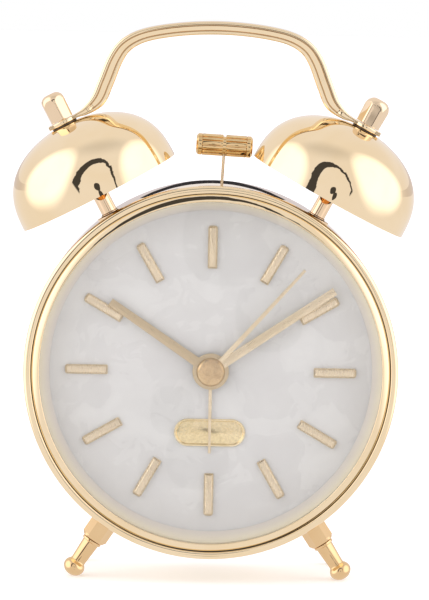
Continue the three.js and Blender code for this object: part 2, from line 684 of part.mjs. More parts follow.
// The lever and wire hang from the pivot; in this group the pivot is the origin and up is Z.
function makeHammer() {
  const group = turnedGroup(HAMMER_REST_TILT, 0, PIVOT_HEIGHT);
  const forkHeight = MOTOR.z - PIVOT_HEIGHT;
  const leverTop = forkHeight + 6;
  const lever = new THREE.Shape();
  lever.moveTo(-3, 0);
  lever.absarc(0, 0, 3, Math.PI, 2 * Math.PI);
  lever.lineTo(2, 8);
  lever.lineTo(2, forkHeight - 6);
  lever.lineTo(3.6, forkHeight - 4);
  lever.lineTo(3.6, leverTop);
  lever.lineTo(-3.6, leverTop);
  lever.lineTo(-3.6, forkHeight - 4);
  lever.lineTo(-2, forkHeight - 6);
  lever.lineTo(-2, 8);
  lever.holes.push(circle(PIVOT_PIN + 0.15));
  const forkSlot = roundedRectangle(2.6, 6.4, 1.2, 0, forkHeight);
  const leverPlate = cut(
    plate(lever, LEVER_FRONT, LEVER_BACK, { curveSegments: 8 }),
    plate(forkSlot, LEVER_FRONT - 1, LEVER_BACK + 1, { curveSegments: 2 }),
  );
  const wireDepth = (LEVER_FRONT + LEVER_BACK) / 2;
  const route = new THREE.CatmullRomCurve3([
    new THREE.Vector3(0, wireDepth, leverTop - 1.5),
    new THREE.Vector3(0, wireDepth, leverTop + 0.5),
    new THREE.Vector3(0, (wireDepth + STRIKER_DEPTH) / 2, leverTop + 2.2),
    new THREE.Vector3(0, STRIKER_DEPTH, leverTop + 4.0),
    new THREE.Vector3(0, STRIKER_DEPTH, HAMMER_REACH - 8),
    new THREE.Vector3(0, STRIKER_DEPTH, HAMMER_REACH - 0.8),
  ], false, 'centripetal');
  const wire = new THREE.ExtrudeGeometry(new THREE.Shape().absarc(0, 0, ARM_RADIUS, 0, 2 * Math.PI), {
    steps: 16,
    curveSegments: 4,
    bevelEnabled: false,
    extrudePath: route,
  });
  add('hammer_arm', join(leverPlate, wire), satinGold, group);

  const half = HEAD.length / 2;
  const head = turned([
    [0, -half],
    [HEAD.radius - 0.6, -half],
    [HEAD.radius, -half + 0.6],
    [HEAD.radius, -0.3],
    [HEAD.radius - 0.25, -0.3],
    [HEAD.radius - 0.25, 0.3],
    [HEAD.radius, 0.3],
    [HEAD.radius, half - 0.6],
    [HEAD.radius - 0.6, half],
    [0, half],
  ], SMALL).rotateZ(Math.PI / 2).translate(0, STRIKER_DEPTH, HAMMER_REACH);
  const wireHole = disc(ARM_RADIUS + 0.1, -6, -0.6, TINY).rotateX(Math.PI / 2);
  wireHole.translate(0, STRIKER_DEPTH, HAMMER_REACH);
  add('hammer_head', cut(head, wireHole), deepGold, group);
}

// ---- Bells, posts, nuts and handle ----------------------------------------------------------

const CROWN = RIM_RISE + BELL_HEIGHT; // top of the bell, along the post
const HANDLE_PLATE = 1.2; // thickness of the handle's end plates
const NUT_BASE = CROWN + HANDLE_PLATE + 2 * GAP;
const NUT = { height: 8.4, flats: 6.8, bore: 5 };

// Half of a bell's section: a straight skirt that rolls over into a flat crown.
function bellRadiusAt(height, radius, top) {
  return radius * Math.sqrt(Math.max(0, 1 - (height / top) ** 2.7));
}

function bellSection(radius, top, steps) {
  const points = [];
  for (let i = 0; i <= steps; i += 1) {
    const height = top * Math.sin((Math.PI / 2) * (i / steps));
    points.push([bellRadiusAt(height, radius, top), height]);
  }
  return points;
}

function hexagon(flats, from, to) {
  const across = flats / Math.sqrt(3);
  const prism = new THREE.CylinderGeometry(across, across, to - from, 6).translate(0, (from + to) / 2, 0);
  return prism;
}

function makeBellSide(side, label) {
  const axis = new THREE.Group();
  axis.position.set(side * postBase.x, postBase.y, postBase.z);
  axis.rotation.y = THREE.MathUtils.degToRad(side * BELL_TILT);
  clock.add(axis);
  const upright = (geometry) => geometry.rotateX(Math.PI / 2);

  const outside = bellSection(BELL_RADIUS, BELL_HEIGHT, 8);
  const inside = bellSection(BELL_RADIUS - BELL_WALL, BELL_HEIGHT - BELL_WALL, 8).reverse();
  const shell = turned([...outside, ...inside], MEDIUM).translate(0, RIM_RISE, 0);
  const bell = cut(shell, disc(STUD_HOLE, 20, 40, TINY));
  add(`bell_${label}`, upright(bell), polishedGold, axis);

  const shoulder = CROWN - BELL_WALL - GAP;
  const column = turned([
    [0, -3],
    [4.4, -3],
    [4.4, 0.9],
    [3.8, 1.3],
    [2.4, 1.5],
    [2.4, shoulder],
    [STUD_RADIUS, shoulder],
    [STUD_RADIUS, NUT_BASE + 4],
    [0, NUT_BASE + 4],
  ], SMALL);
  const caseSurface = disc(CASE_RADIUS + GAP, -10, 10, LARGE).translate(0, 0, -postBase.z);
  caseSurface.translate(-side * postBase.x, 0, 0).rotateY(THREE.MathUtils.degToRad(-side * BELL_TILT));
  const stud = upright(disc(STUD_RADIUS, -5, 1, TINY));
  add(`bell_post_${label}`, join(cut(upright(column), caseSurface), stud), polishedGold, axis);

  const top = NUT_BASE + NUT.height;
  const dome = turned([
    [0, NUT_BASE],
    [NUT.flats / 2 - 0.1, NUT_BASE],
    [NUT.flats / 2 + 0.5, NUT_BASE + 0.7],
    [NUT.flats / 2 + 0.5, top - 3.2],
    [NUT.flats / 2 - 1.3, top - 0.7],
    [NUT.flats / 2 - 2.4, top],
    [0, top],
  ], SMALL);
  const bore = disc(STUD_RADIUS + 0.2, NUT_BASE - 1, NUT_BASE + NUT.bore, TINY);
  const nut = cut(common(hexagon(NUT.flats, NUT_BASE, top), dome), bore);
  add(`bell_nut_${label}`, upright(nut), polishedGold, axis);
}

// The handle's centre line on its right side, from the top of the bow to the end plate, with
// the half thickness of the bar at each point.
function handleOutline() {
  const tilt = THREE.MathUtils.degToRad(BELL_TILT);
  const plateMiddle = CROWN + GAP + HANDLE_PLATE / 2;
  const across = (s) => [
    postBase.x + plateMiddle * Math.sin(tilt) + s * Math.cos(tilt),
    postBase.z + plateMiddle * Math.cos(tilt) - s * Math.sin(tilt),
  ];
  const half = HANDLE_PLATE / 2;
  const right = [
    [[0, 100.0], 1.95],
    [[14.4, 98.9], 1.95],
    [[22.6, 96.9], 2.0],
    [[26.9, 94.2], 2.15],
    [[29.4, 90.6], 2.3],
    [[32.3, 83.3], 2.35],
    [[34.4, 78.4], 2.2],
    [across(-7.6), 1.2],
    [across(-4.4), half],
    [across(5.6), half],
  ];
  const mirrored = right.slice(1).reverse().map(([[x, z], t]) => [[-x, z], t]);
  const stations = [...mirrored, ...right];
  const line = new THREE.CatmullRomCurve3(
    stations.map(([[x, z], t]) => new THREE.Vector3(x, z, t)), false, 'centripetal',
  );
  const [above, below] = [[], []];
  const steps = 40;
  for (let i = 0; i <= steps; i += 1) {
    const point = line.getPoint(i / steps);
    const heading = line.getTangent(i / steps);
    const normal = new THREE.Vector2(-heading.y, heading.x).normalize();
    above.push(new THREE.Vector2(point.x + normal.x * point.z, point.y + normal.y * point.z));
    below.push(new THREE.Vector2(point.x - normal.x * point.z, point.y - normal.y * point.z));
  }
  return new THREE.Shape([...above, ...below.reverse()]);
}

function makeHandle() {
  const halfDepth = 3.2;
  const bar = plate(handleOutline(), STRIKER_DEPTH - halfDepth, STRIKER_DEPTH + halfDepth);
  const plates = [-1, 1].map((side) => {
    const from = CROWN + GAP;
    const pad = disc(4.6, from, from + HANDLE_PLATE, SMALL).rotateX(Math.PI / 2);
    pad.rotateY(THREE.MathUtils.degToRad(side * BELL_TILT));
    return pad.translate(side * postBase.x, postBase.y, postBase.z);
  });
  const holes = [-1, 1].map((side) => bellRod(STUD_HOLE, side, CROWN - 3, CROWN + 6));
  add('handle', cut(join(bar, ...plates), ...holes), polishedGold);
}

// ---- Feet -----------------------------------------------------------------------------------

const COLLAR_END = 61.6; // radius at which the collar meets the leg
const BALL_RADIUS = 71.2; // distance of the ball's middle from the dial's centre
const BALL = { across: 3.2, along: 2.7 };

function makeFootSide(side, label) {
  const axis = new THREE.Group();
  axis.position.set(0, FOOT_DEPTH, 0);
  axis.rotation.y = THREE.MathUtils.degToRad(180 - side * FOOT_ANGLE);
  clock.add(axis);
  const outwards = (geometry) => geometry.rotateX(Math.PI / 2);

  const prism = hexagon(6.8, 50, COLLAR_END - GAP);
  const chamfer = turned([
    [0, 50],
    [4.2, 50],
    [4.2, COLLAR_END - 1.2],
    [3.3, COLLAR_END - GAP],
    [0, COLLAR_END - GAP],
  ], SMALL);
  const bore = disc(STUD_HOLE, 49, COLLAR_END + 1, TINY);
  const caseSurface = disc(CASE_RADIUS + GAP, -10, 10, LARGE);
  const collar = cut(outwards(cut(common(prism, chamfer), bore)), caseSurface);
  add(`foot_collar_${label}`, collar, polishedGold, axis);

  const neck = BALL_RADIUS - BALL.along * Math.sqrt(1 - (2.2 / BALL.across) ** 2);
  const ball = arc(0, 0, 1, -40, 90, 6).map(([r, y]) => [r * BALL.across, BALL_RADIUS + y * BALL.along]);
  const leg = turned([
    [0, 49],
    [STUD_RADIUS, 49],
    [STUD_RADIUS, COLLAR_END],
    [3.0, COLLAR_END],
    [3.0, COLLAR_END + 0.6],
    [2.2, neck],
    ...ball.slice(0, -1),
    [0, BALL_RADIUS + BALL.along],
  ], SMALL);
  const floor = box(40, 40, 10, 0, 0, -DIAL_HEIGHT - 5);
  floor.rotateY(THREE.MathUtils.degToRad(-(180 - side * FOOT_ANGLE)));
  add(`foot_leg_${label}`, cut(outwards(leg), floor), polishedGold, axis);
}

// ---- Assembly -------------------------------------------------------------------------------

makeCase();
makeBezel();
makeLensAndDial();
makeMarkers();
makeBadge();
makeHands();
makeHandWheels();
makeMovementCase();
makeTrain();
makeStatorAndCoil();
makeBoard();
makeSettingWork();
makeSwitch();
makeRearCover();
makeBatteryAndDoor();
makeScrews();
makeMotor();
makeHammer();
makeBellSide(-1, 'left');
makeBellSide(1, 'right');
makeHandle();
makeFootSide(-1, 'left');
makeFootSide(1, 'right');

const group = new THREE.Group();
group.add(clock);

export default group;
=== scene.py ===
"""Twin-bell alarm clock in pale polished gold, dressed over its CAD frame."""

import math

import bmesh
import bpy
from mathutils import Matrix, Vector


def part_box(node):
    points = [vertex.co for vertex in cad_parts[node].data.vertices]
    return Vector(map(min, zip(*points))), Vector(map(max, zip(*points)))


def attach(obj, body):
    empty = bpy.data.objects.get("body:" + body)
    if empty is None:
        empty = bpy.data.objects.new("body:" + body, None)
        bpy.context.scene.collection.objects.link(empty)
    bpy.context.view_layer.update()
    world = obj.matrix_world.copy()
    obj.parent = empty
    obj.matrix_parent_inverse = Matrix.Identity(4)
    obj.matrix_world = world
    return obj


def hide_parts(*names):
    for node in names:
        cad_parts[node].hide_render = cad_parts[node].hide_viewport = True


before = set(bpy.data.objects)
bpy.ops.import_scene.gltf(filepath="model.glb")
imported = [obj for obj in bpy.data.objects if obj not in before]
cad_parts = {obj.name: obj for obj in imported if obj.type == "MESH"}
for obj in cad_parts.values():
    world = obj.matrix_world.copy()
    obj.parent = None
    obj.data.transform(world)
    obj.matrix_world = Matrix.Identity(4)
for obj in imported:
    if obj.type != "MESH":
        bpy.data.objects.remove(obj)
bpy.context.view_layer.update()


# ---- The clock's own measures ---------------------------------------------------------------
# Every piece is placed from the dial's centre in the bezel's front plane. X is right, depth
# goes back from that plane and height is above the dial's centre, all in millimetres.

MM = 0.001
bezel_low, bezel_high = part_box("front_bezel")
DIAL_CENTRE = Vector((
    (bezel_low.x + bezel_high.x) / 2,
    bezel_low.y,
    (bezel_low.z + bezel_high.z) / 2,
))
STRIKER_DEPTH = (sum(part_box("bell_left"), Vector()).y / 2 - DIAL_CENTRE.y) / MM


def at(x, depth, height):
    """A place on the clock as a vector in metres."""
    return DIAL_CENTRE + Vector((x, depth, height)) * MM


# ---- Studio ---------------------------------------------------------------------------------
# A pale floor under a white tent. Two big soft boxes stand left and right of the lens, and a
# dark arch of open tent between them is what gives the polished metal its black accents.

CAMERA_DISTANCE = 1.4
CAMERA_ELEVATION = math.radians(4.98)
CAMERA_AZIMUTH = math.radians(-0.24)
CAMERA_ROLL = math.radians(1.0)
CAMERA_AIM = at(0.73, 0, 21.56)


def added(name, data):
    """A new object in the scene."""
    thing = bpy.data.objects.new(name, data)
    bpy.context.scene.collection.objects.link(thing)
    return thing


back = Vector((
    math.sin(CAMERA_AZIMUTH) * math.cos(CAMERA_ELEVATION),
    -math.cos(CAMERA_AZIMUTH) * math.cos(CAMERA_ELEVATION),
    math.sin(CAMERA_ELEVATION),
))
level_right = (-back).cross(Vector((0, 0, 1))).normalized()
level_up = level_right.cross(-back)
right = level_right * math.cos(CAMERA_ROLL) + level_up * math.sin(CAMERA_ROLL)
up = level_up * math.cos(CAMERA_ROLL) - level_right * math.sin(CAMERA_ROLL)
camera_data = bpy.data.cameras.new("camera")
camera_data.lens = 288.7
camera_data.sensor_width = 36
camera_data.clip_start = 0.05
camera = added("camera", camera_data)
camera.matrix_world = Matrix((right, up, back)).transposed().to_4x4()
camera.location = CAMERA_AIM + back * CAMERA_DISTANCE
bpy.context.scene.camera = camera
bpy.context.scene.view_settings.view_transform = "Standard"


def node(tree, kind, settings=None, **inputs):
    """Adds a node; inputs are numbers, tuples or sockets, named in lower case with _."""
    made = tree.nodes.new(kind)
    for key, value in (settings or {}).items():
        setattr(made, key, value)
    for key, value in inputs.items():
        if key.startswith("in") and key[2:].isdigit():
            socket = made.inputs[int(key[2:])]
        else:
            socket = made.inputs[key.replace("_", " ").title()]
        if isinstance(value, bpy.types.NodeSocket):
            tree.links.new(value, socket)
        else:
            socket.default_value = value
    return made


def calc(tree, operation, *values):
    """One Math node and its result."""
    made = node(tree, "ShaderNodeMath", {"operation": operation})
    for socket, value in zip(made.inputs, values):
        if isinstance(value, bpy.types.NodeSocket):
            tree.links.new(value, socket)
        else:
            socket.default_value = value
    return made.outputs[0]


def fade(tree, value, start, end, low=0.0, high=1.0):
    """A smooth step from low at start to high at end."""
    made = node(
        tree, "ShaderNodeMapRange", {"interpolation_type": "SMOOTHSTEP"},
        in0=value, in1=start, in2=end, in3=low, in4=high,
    )
    return made.outputs[0]


def window(tree, value, low, high, feather):
    """1 between low and high, falling to 0 over the feather outside them."""
    rise = fade(tree, value, low - feather, low)
    fall = fade(tree, value, high, high + feather, 1.0, 0.0)
    return calc(tree, "MULTIPLY", rise, fall)


def dimmed(tree, level, mask, share):
    """A level lowered by a share of itself where the mask is 1."""
    kept = calc(tree, "SUBTRACT", 1.0, calc(tree, "MULTIPLY", mask, share))
    return calc(tree, "MULTIPLY", level, kept)


def noise(tree, place, scale, detail=2.0, distortion=0.0):
    """A noise over a surface; its first output is the value."""
    return node(tree, "ShaderNodeTexNoise", vector=place, scale=scale, detail=detail,
                distortion=distortion)


def oval(tree, azimuth, elevation, middle, half, power=2.6):
    """Below 1 inside a rounded oval of directions and above 1 outside it."""
    total = None
    for angle, centre, size in zip((azimuth, elevation), middle, half):
        offset = calc(tree, "ABSOLUTE", calc(tree, "SUBTRACT", angle, centre))
        term = calc(tree, "POWER", calc(tree, "DIVIDE", offset, size), power)
        total = term if total is None else calc(tree, "ADD", total, term)
    return total


TENT_LEVEL, BOX_GLOW, ROOF_DIM = 0.9, 0.8, 0.2
ARCH_DARK, WALL_DARK = 0.93, 0.22


def make_world():
    world = bpy.data.worlds.new("tent")
    world.use_nodes = True
    bpy.context.scene.world = world
    tree = world.node_tree
    tree.nodes.clear()
    direction = node(tree, "ShaderNodeTexCoord").outputs["Generated"]
    parts = node(tree, "ShaderNodeSeparateXYZ", in0=direction)
    x, y, z = parts.outputs
    ragged = noise(tree, direction, 9.0, 3.0)
    shift = calc(tree, "MULTIPLY", calc(tree, "SUBTRACT", ragged.outputs[0], 0.5), 7.0)
    azimuth = calc(tree, "DEGREES", calc(tree, "ARCTAN2", x, calc(tree, "MULTIPLY", y, -1.0)))
    elevation = calc(tree, "DEGREES", calc(tree, "ARCSINE", z))
    from_behind = calc(tree, "SUBTRACT", 180.0, calc(tree, "ABSOLUTE", azimuth))
    level = TENT_LEVEL
    for middle in ((-78.0, 18.0), (77.0, 18.0)):
        box = oval(tree, azimuth, elevation, middle, (35.0, 35.0), 2.4)
        level = calc(tree, "ADD", level, fade(tree, box, 1.9, 0.5, 0.0, BOX_GLOW))
    # the tent's roof is dimmer toward the lens
    roof = calc(
        tree, "MULTIPLY", fade(tree, elevation, 46.0, 72.0), fade(tree, y, 0.1, -0.3),
    )
    level = dimmed(tree, level, roof, ROOF_DIM)
    # the open arch round the lens, ragged where the tent's cloth is pinned back
    ragged_azimuth = calc(tree, "ADD", azimuth, shift)
    ragged_elevation = calc(tree, "ADD", elevation, shift)
    outer = oval(tree, ragged_azimuth, ragged_elevation, (-2.5, 6.0), (30.0, 42.0), 2.3)
    inner = oval(tree, ragged_azimuth, ragged_elevation, (1.5, 4.0), (23.0, 34.0), 2.3)
    arch = calc(tree, "MULTIPLY", fade(tree, outer, 1.02, 0.98), fade(tree, inner, 0.96, 1.04))
    # its two feet run to a point on their inner side
    spread = calc(tree, "SUBTRACT", calc(tree, "ABSOLUTE", azimuth), 25.0)
    above = calc(tree, "SUBTRACT", elevation, calc(tree, "MULTIPLY", spread, 1.3))
    arch = calc(tree, "MULTIPLY", arch, fade(tree, above, -4.0, -0.5))
    lens = fade(tree, oval(tree, azimuth, elevation, (1.6, 4.4), (3.7, 3.6)), 1.1, 0.9)
    hand = fade(tree, oval(tree, azimuth, elevation, (4.6, -1.3), (2.6, 2.9)), 1.1, 0.9)
    lens = calc(tree, "MAXIMUM", lens, hand)
    dark = calc(tree, "MAXIMUM", arch, lens)
    light = dimmed(tree, level, dark, ARCH_DARK)
    wall = calc(tree, "MULTIPLY", window(tree, elevation, -1.0, 4.6, 0.8),
                fade(tree, from_behind, 75.0, 45.0))
    light = dimmed(tree, light, wall, WALL_DARK)
    tint = node(tree, "ShaderNodeMix", {"data_type": "RGBA"}, in0=wall)
    tint.inputs[6].default_value = (1.0, 0.955, 0.98, 1)
    tint.inputs[7].default_value = (1.0, 0.92, 0.95, 1)
    studio = node(tree, "ShaderNodeBackground", in0=tint.outputs[2], in1=light)
    plain = node(tree, "ShaderNodeBackground", in0=(1, 1, 1, 1), in1=1.0)
    seen = node(tree, "ShaderNodeLightPath").outputs["Is Camera Ray"]
    mixed = node(tree, "ShaderNodeMixShader", in0=seen, in1=studio.outputs[0],
                 in2=plain.outputs[0])
    node(tree, "ShaderNodeOutputWorld", in0=mixed.outputs[0])


make_world()


def place_on(tree):
    """Where a point is on the clock."""
    return node(tree, "ShaderNodeTexCoord").outputs["Object"]


def material(name, roughness=0.5, metallic=0.0, **sockets):
    """A material with its Principled shader; the rest of its look is linked in later."""
    made = bpy.data.materials.new(name)
    made.use_nodes = True
    shader = made.node_tree.nodes["Principled BSDF"]
    shader.inputs["Roughness"].default_value = roughness
    shader.inputs["Metallic"].default_value = metallic
    for key, value in sockets.items():
        shader.inputs[key.replace("_", " ").title()].default_value = value
    return made, made.node_tree, shader


def blended(tree, factor, first, second):
    """A colour between two by a factor."""
    mix = node(tree, "ShaderNodeMix", {"data_type": "RGBA"}, in0=factor)
    for socket, colour in ((mix.inputs[6], first), (mix.inputs[7], second)):
        if isinstance(colour, bpy.types.NodeSocket):
            tree.links.new(colour, socket)
        else:
            socket.default_value = (*colour, 1)
    return mix.outputs[2]


def painted(tree, shader, colour, roughness=None):
    """Feeds a colour, and a roughness where one is given, into the shader."""
    tree.links.new(colour, shader.inputs["Base Color"])
    if roughness:
        tree.links.new(roughness, shader.inputs["Roughness"])


def bumped(tree, shader, height, distance):
    """Feeds a height into the shader's normal."""
    bump = node(tree, "ShaderNodeBump", strength=1.0, distance=distance, height=height)
    tree.links.new(bump.outputs[0], shader.inputs["Normal"])


def make_floor():
    corners = [(-0.62, -0.62, 0), (0.62, -0.62, 0), (0.62, 5, 0), (-0.62, 5, 0)]
    mesh = bpy.data.meshes.new("floor")
    mesh.from_pydata(corners, [], [(0, 1, 2, 3)])
    floor = added("floor", mesh)
    made, tree, shader = material("floor_paper", roughness=0.6)
    place = place_on(tree)
    mottle = noise(tree, place, 40.0, 4.0)
    colour = blended(tree, mottle.outputs[0], (0.93, 0.925, 0.915), (0.95, 0.945, 0.94))
    painted(tree, shader, colour)
    lit = node(tree, "ShaderNodeEmission", in0=(1, 1, 1, 1), in1=0.32)
    lifted = node(tree, "ShaderNodeAddShader", in0=shader.outputs[0], in1=lit.outputs[0])
    seen = node(tree, "ShaderNodeLightPath").outputs["Is Camera Ray"]
    shown = node(tree, "ShaderNodeMixShader", in0=seen, in1=shader.outputs[0],
                 in2=lifted.outputs[0])
    tree.links.new(shown.outputs[0], tree.nodes["Material Output"].inputs[0])
    mesh.materials.append(made)
    floor.visible_glossy = False


make_floor()


def make_lamp(name, place, size, power):
    """A soft box that lights the clock but doesn't show as a hard square in the metal."""
    data = bpy.data.lights.new(name, "AREA")
    data.energy = power
    data.size = size
    lamp = added(name, data)
    lamp.location = place
    lamp.rotation_mode = "QUATERNION"
    lamp.rotation_quaternion = (Vector((0, 0, 0.08)) - Vector(place)).to_track_quat("-Z", "Y")
    lamp.visible_glossy = False
    lamp.visible_camera = False


make_lamp("top_box", (0.1, 0.1, 1.5), 1.4, 1.5)
make_lamp("left_box", (-0.9, -1.1, 0.6), 0.9, 2.5)


def make_dark_strip():
    """A black card low behind the clock, which puts a thin dark line along the case's top."""
    low, high = at(-27, 100, 54.0), at(27, 100, 59.7)
    mesh = bpy.data.meshes.new("dark_strip")
    mesh.from_pydata([(low.x, low.y, low.z), (high.x, low.y, low.z), (high.x, low.y, high.z),
                      (low.x, low.y, high.z)], [], [(0, 1, 2, 3)])
    strip = added("dark_strip", mesh)
    made, tree, shader = material("card_black", roughness=0.9)
    place = place_on(tree)
    weave = noise(tree, place, 900.0)
    colour = blended(tree, weave.outputs[0], (0.01, 0.01, 0.015), (0.03, 0.03, 0.035))
    painted(tree, shader, colour)
    mesh.materials.append(made)
    strip.visible_camera = False
    strip.visible_diffuse = False
    strip.visible_shadow = False
    strip.visible_transmission = False


make_dark_strip()


# ---- Case drum ------------------------------------------------------------------------------
# A steel tube, polished and gold plated, with its rear edge rolled inwards. Its wall is whole
# here: no slot is cut in it for the hammer's wire, and no holes for studs and legs.


def filleted(corners, steps=4):
    """A section's points, each corner (radius, height, rounding) turned into a small arc."""
    points = []
    count = len(corners)
    for i, (r, h, rounding) in enumerate(corners):
        here = Vector((r, h))
        if rounding == 0:
            points.append(here)
            continue
        before = (Vector(corners[i - 1][:2]) - here)
        after = (Vector(corners[(i + 1) % count][:2]) - here)
        room = 0.49 * min(before.length, after.length)
        opening = before.angle(after)
        reach = min(rounding / math.tan(opening / 2), room)
        radius = reach * math.tan(opening / 2)
        middle = here + (before.normalized() + after.normalized()).normalized() * (
            radius / math.sin(opening / 2))
        start = here + before.normalized() * reach - middle
        end = here + after.normalized() * reach - middle
        sweep = start.angle_signed(end)
        for k in range(steps + 1):
            turn = -sweep * k / steps
            c, s = math.cos(turn), math.sin(turn)
            points.append(middle + Vector((c * start.x - s * start.y, s * start.x + c * start.y)))
    return [(p.x, p.y) for p in points]


def eased(mesh, sharp=32):
    """Shades a mesh smooth, except at edges sharper than an angle."""
    mesh.shade_smooth()
    mesh.set_sharp_from_angle(angle=math.radians(sharp))
    return mesh


def mesh_from(name, vertices, faces, sharp=38):
    """A welded mesh with its faces turned outwards, smooth except at sharp edges."""
    shape = bmesh.new()
    placed = [shape.verts.new(v) for v in vertices]
    for face in faces:
        try:
            shape.faces.new([placed[i] for i in face])
        except ValueError:
            continue
    bmesh.ops.remove_doubles(shape, verts=shape.verts, dist=1e-7)
    bmesh.ops.recalc_face_normals(shape, faces=shape.faces)
    mesh = bpy.data.meshes.new(name)
    shape.to_mesh(mesh)
    shape.free()
    return eased(mesh, sharp)


def spun(name, section, turns, origin, axis, sharp=38, flats=None, phase=0.0):
    """A body of revolution, cut to a hexagon where a measure across flats is given. A
    section that starts and ends on the axis is closed by its poles, and any other section
    is a closed loop."""
    axis = axis.normalized()
    side = axis.orthogonal().normalized()
    if abs(axis.y) < 0.9:
        side = axis.cross(Vector((0, 1, 0))).normalized()
    other = axis.cross(side)
    poles = section[0][0] < 1e-6 and section[-1][0] < 1e-6
    vertices, rings, faces = [], [], []
    for r, h in section:
        if r < 1e-6:
            rings.append([len(vertices)] * turns)
            vertices.append(origin + axis * h * MM)
            continue
        rings.append([len(vertices) + k for k in range(turns)])
        for k in range(turns):
            angle = 2 * math.pi * k / turns
            reach = r
            if flats:
                within = (angle + phase) % (math.pi / 3) - math.pi / 6
                reach = min(r, flats / 2 / math.cos(within))
            spoke = side * math.cos(angle) + other * math.sin(angle)
            vertices.append(origin + (axis * h + spoke * reach) * MM)
    pairs = list(zip(rings, rings[1:]))
    if not poles:
        pairs.append((rings[-1], rings[0]))
    for low, high in pairs:
        for k in range(turns):
            n = (k + 1) % turns
            corners = [low[k], low[n], high[n], high[k]]
            kept = [c for i, c in enumerate(corners) if c not in corners[:i]]
            if len(kept) > 2:
                faces.append(kept)
    return mesh_from(name, vertices, faces, sharp)


def piece(name, mesh, made, body, slot, *nodes):
    """Shows a finished mesh in place of CAD nodes."""
    thing = added(name, mesh)
    mesh.materials.clear()
    mesh.materials.append(made)
    if nodes:
        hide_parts(*nodes)
    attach(thing, body)
    return thing


def merged(name, *meshes):
    """Several meshes as one."""
    shape = bmesh.new()
    for mesh in meshes:
        shape.from_mesh(mesh)
    mesh = bpy.data.meshes.new(name)
    shape.to_mesh(mesh)
    shape.free()
    return mesh


def plating_group():
    """Clouding, faint polishing marks and dust that plated metal has, as masks."""
    group = bpy.data.node_groups.new("plating", "ShaderNodeTree")
    for label, kind, value in (
        ("Light", "NodeSocketColor", None), ("Deep", "NodeSocketColor", None),
        ("Cloud Scale", "NodeSocketFloat", 60.0), ("Gloss Low", "NodeSocketFloat", 0.03),
        ("Gloss High", "NodeSocketFloat", 0.1),
    ):
        socket = group.interface.new_socket(label, in_out="INPUT", socket_type=kind)
        if value is not None:
            socket.default_value = value
    for label, kind in (("Color", "NodeSocketColor"), ("Roughness", "NodeSocketFloat"),
                        ("Height", "NodeSocketFloat")):
        group.interface.new_socket(label, in_out="OUTPUT", socket_type=kind)
    given = node(group, "NodeGroupInput")
    result = node(group, "NodeGroupOutput")
    place = place_on(group)
    clouds = noise(group, place, given.outputs["Cloud Scale"], 3.0, distortion=0.6)
    soft = fade(group, clouds.outputs[0], 0.35, 0.7)
    tone = blended(group, soft, given.outputs["Light"], given.outputs["Deep"])
    stretch = node(group, "ShaderNodeMapping", vector=place, scale=(900.0, 260.0, 900.0))
    marks = noise(group, stretch.outputs[0], 1.0, 2.0)
    blotches = noise(group, place, 220.0, 5.0)
    worn = calc(group, "MULTIPLY", fade(group, blotches.outputs[0], 0.45, 0.8),
                fade(group, marks.outputs[0], 0.3, 0.7, 0.5, 1.0))
    gloss = node(group, "ShaderNodeMapRange", in0=worn, in3=given.outputs["Gloss Low"],
                 in4=given.outputs["Gloss High"])
    waves = noise(group, place, 110.0, 1.0)
    group.links.new(tone, result.inputs["Color"])
    group.links.new(gloss.outputs[0], result.inputs["Roughness"])
    group.links.new(waves.outputs[0], result.inputs["Height"])
    return group


PLATING = plating_group()


def plated(name, light, deep, gloss=(0.03, 0.1), clouds=60.0, ripple=2e-5):
    """Plated metal between two tones."""
    made, tree, shader = material(name, metallic=1.0)
    look = node(tree, "ShaderNodeGroup")
    look.node_tree = PLATING
    look.inputs["Light"].default_value = (*light, 1)
    look.inputs["Deep"].default_value = (*deep, 1)
    look.inputs["Cloud Scale"].default_value = clouds
    look.inputs["Gloss Low"].default_value = gloss[0]
    look.inputs["Gloss High"].default_value = gloss[1]
    painted(tree, shader, look.outputs["Color"], look.outputs["Roughness"])
    bumped(tree, shader, look.outputs["Height"], ripple)
    return made


BACKWARDS = Vector((0, 1, 0))
GOLD = plated("polished_gold", (0.96, 0.80, 0.535), (0.94, 0.765, 0.485), (0.02, 0.05))

CASE_RADIUS = 53.8
CASE_WALL = 0.9
drum_section = filleted([
    (CASE_RADIUS, 4.0, 0.2),
    (CASE_RADIUS, 43.7, 1.2),
    (CASE_RADIUS - 0.9, 45.0, 0.8),
    (CASE_RADIUS - 3.0, 45.0, 0.2),
    (CASE_RADIUS - 3.0, 45.0 - CASE_WALL, 0.2),
    (CASE_RADIUS - CASE_WALL - 0.3, 44.0, 0.5),
    (CASE_RADIUS - CASE_WALL, 22.0, 0),
    (CASE_RADIUS - CASE_WALL, 4.0, 0.2),
], 6)
drum = spun("case_drum", drum_section, 256, at(0, 0, 0), BACKWARDS)
piece("case_drum", drum, GOLD, "case", "polished_gold", "case_shell")


# ---- Bezel ----------------------------------------------------------------------------------
# A gold ring over the front of the drum: a round outer bead, a fine groove, and an inner bead
# that slopes gently down to the lens.


def rolled(r, depth, spans, steps=10):
    """Points of a rolled section. Each span is a stretch between two outward tilts of the
    surface, in degrees, with its radius of curvature."""
    points = [(r, depth)]
    for start, end, radius in spans:
        for k in range(1, steps + 1):
            a = math.radians(start + (end - start) * (k - 1) / steps)
            b = math.radians(start + (end - start) * k / steps)
            r += radius * (math.sin(b) - math.sin(a))
            depth += radius * (math.cos(a) - math.cos(b))
            points.append((r, depth))
    return points


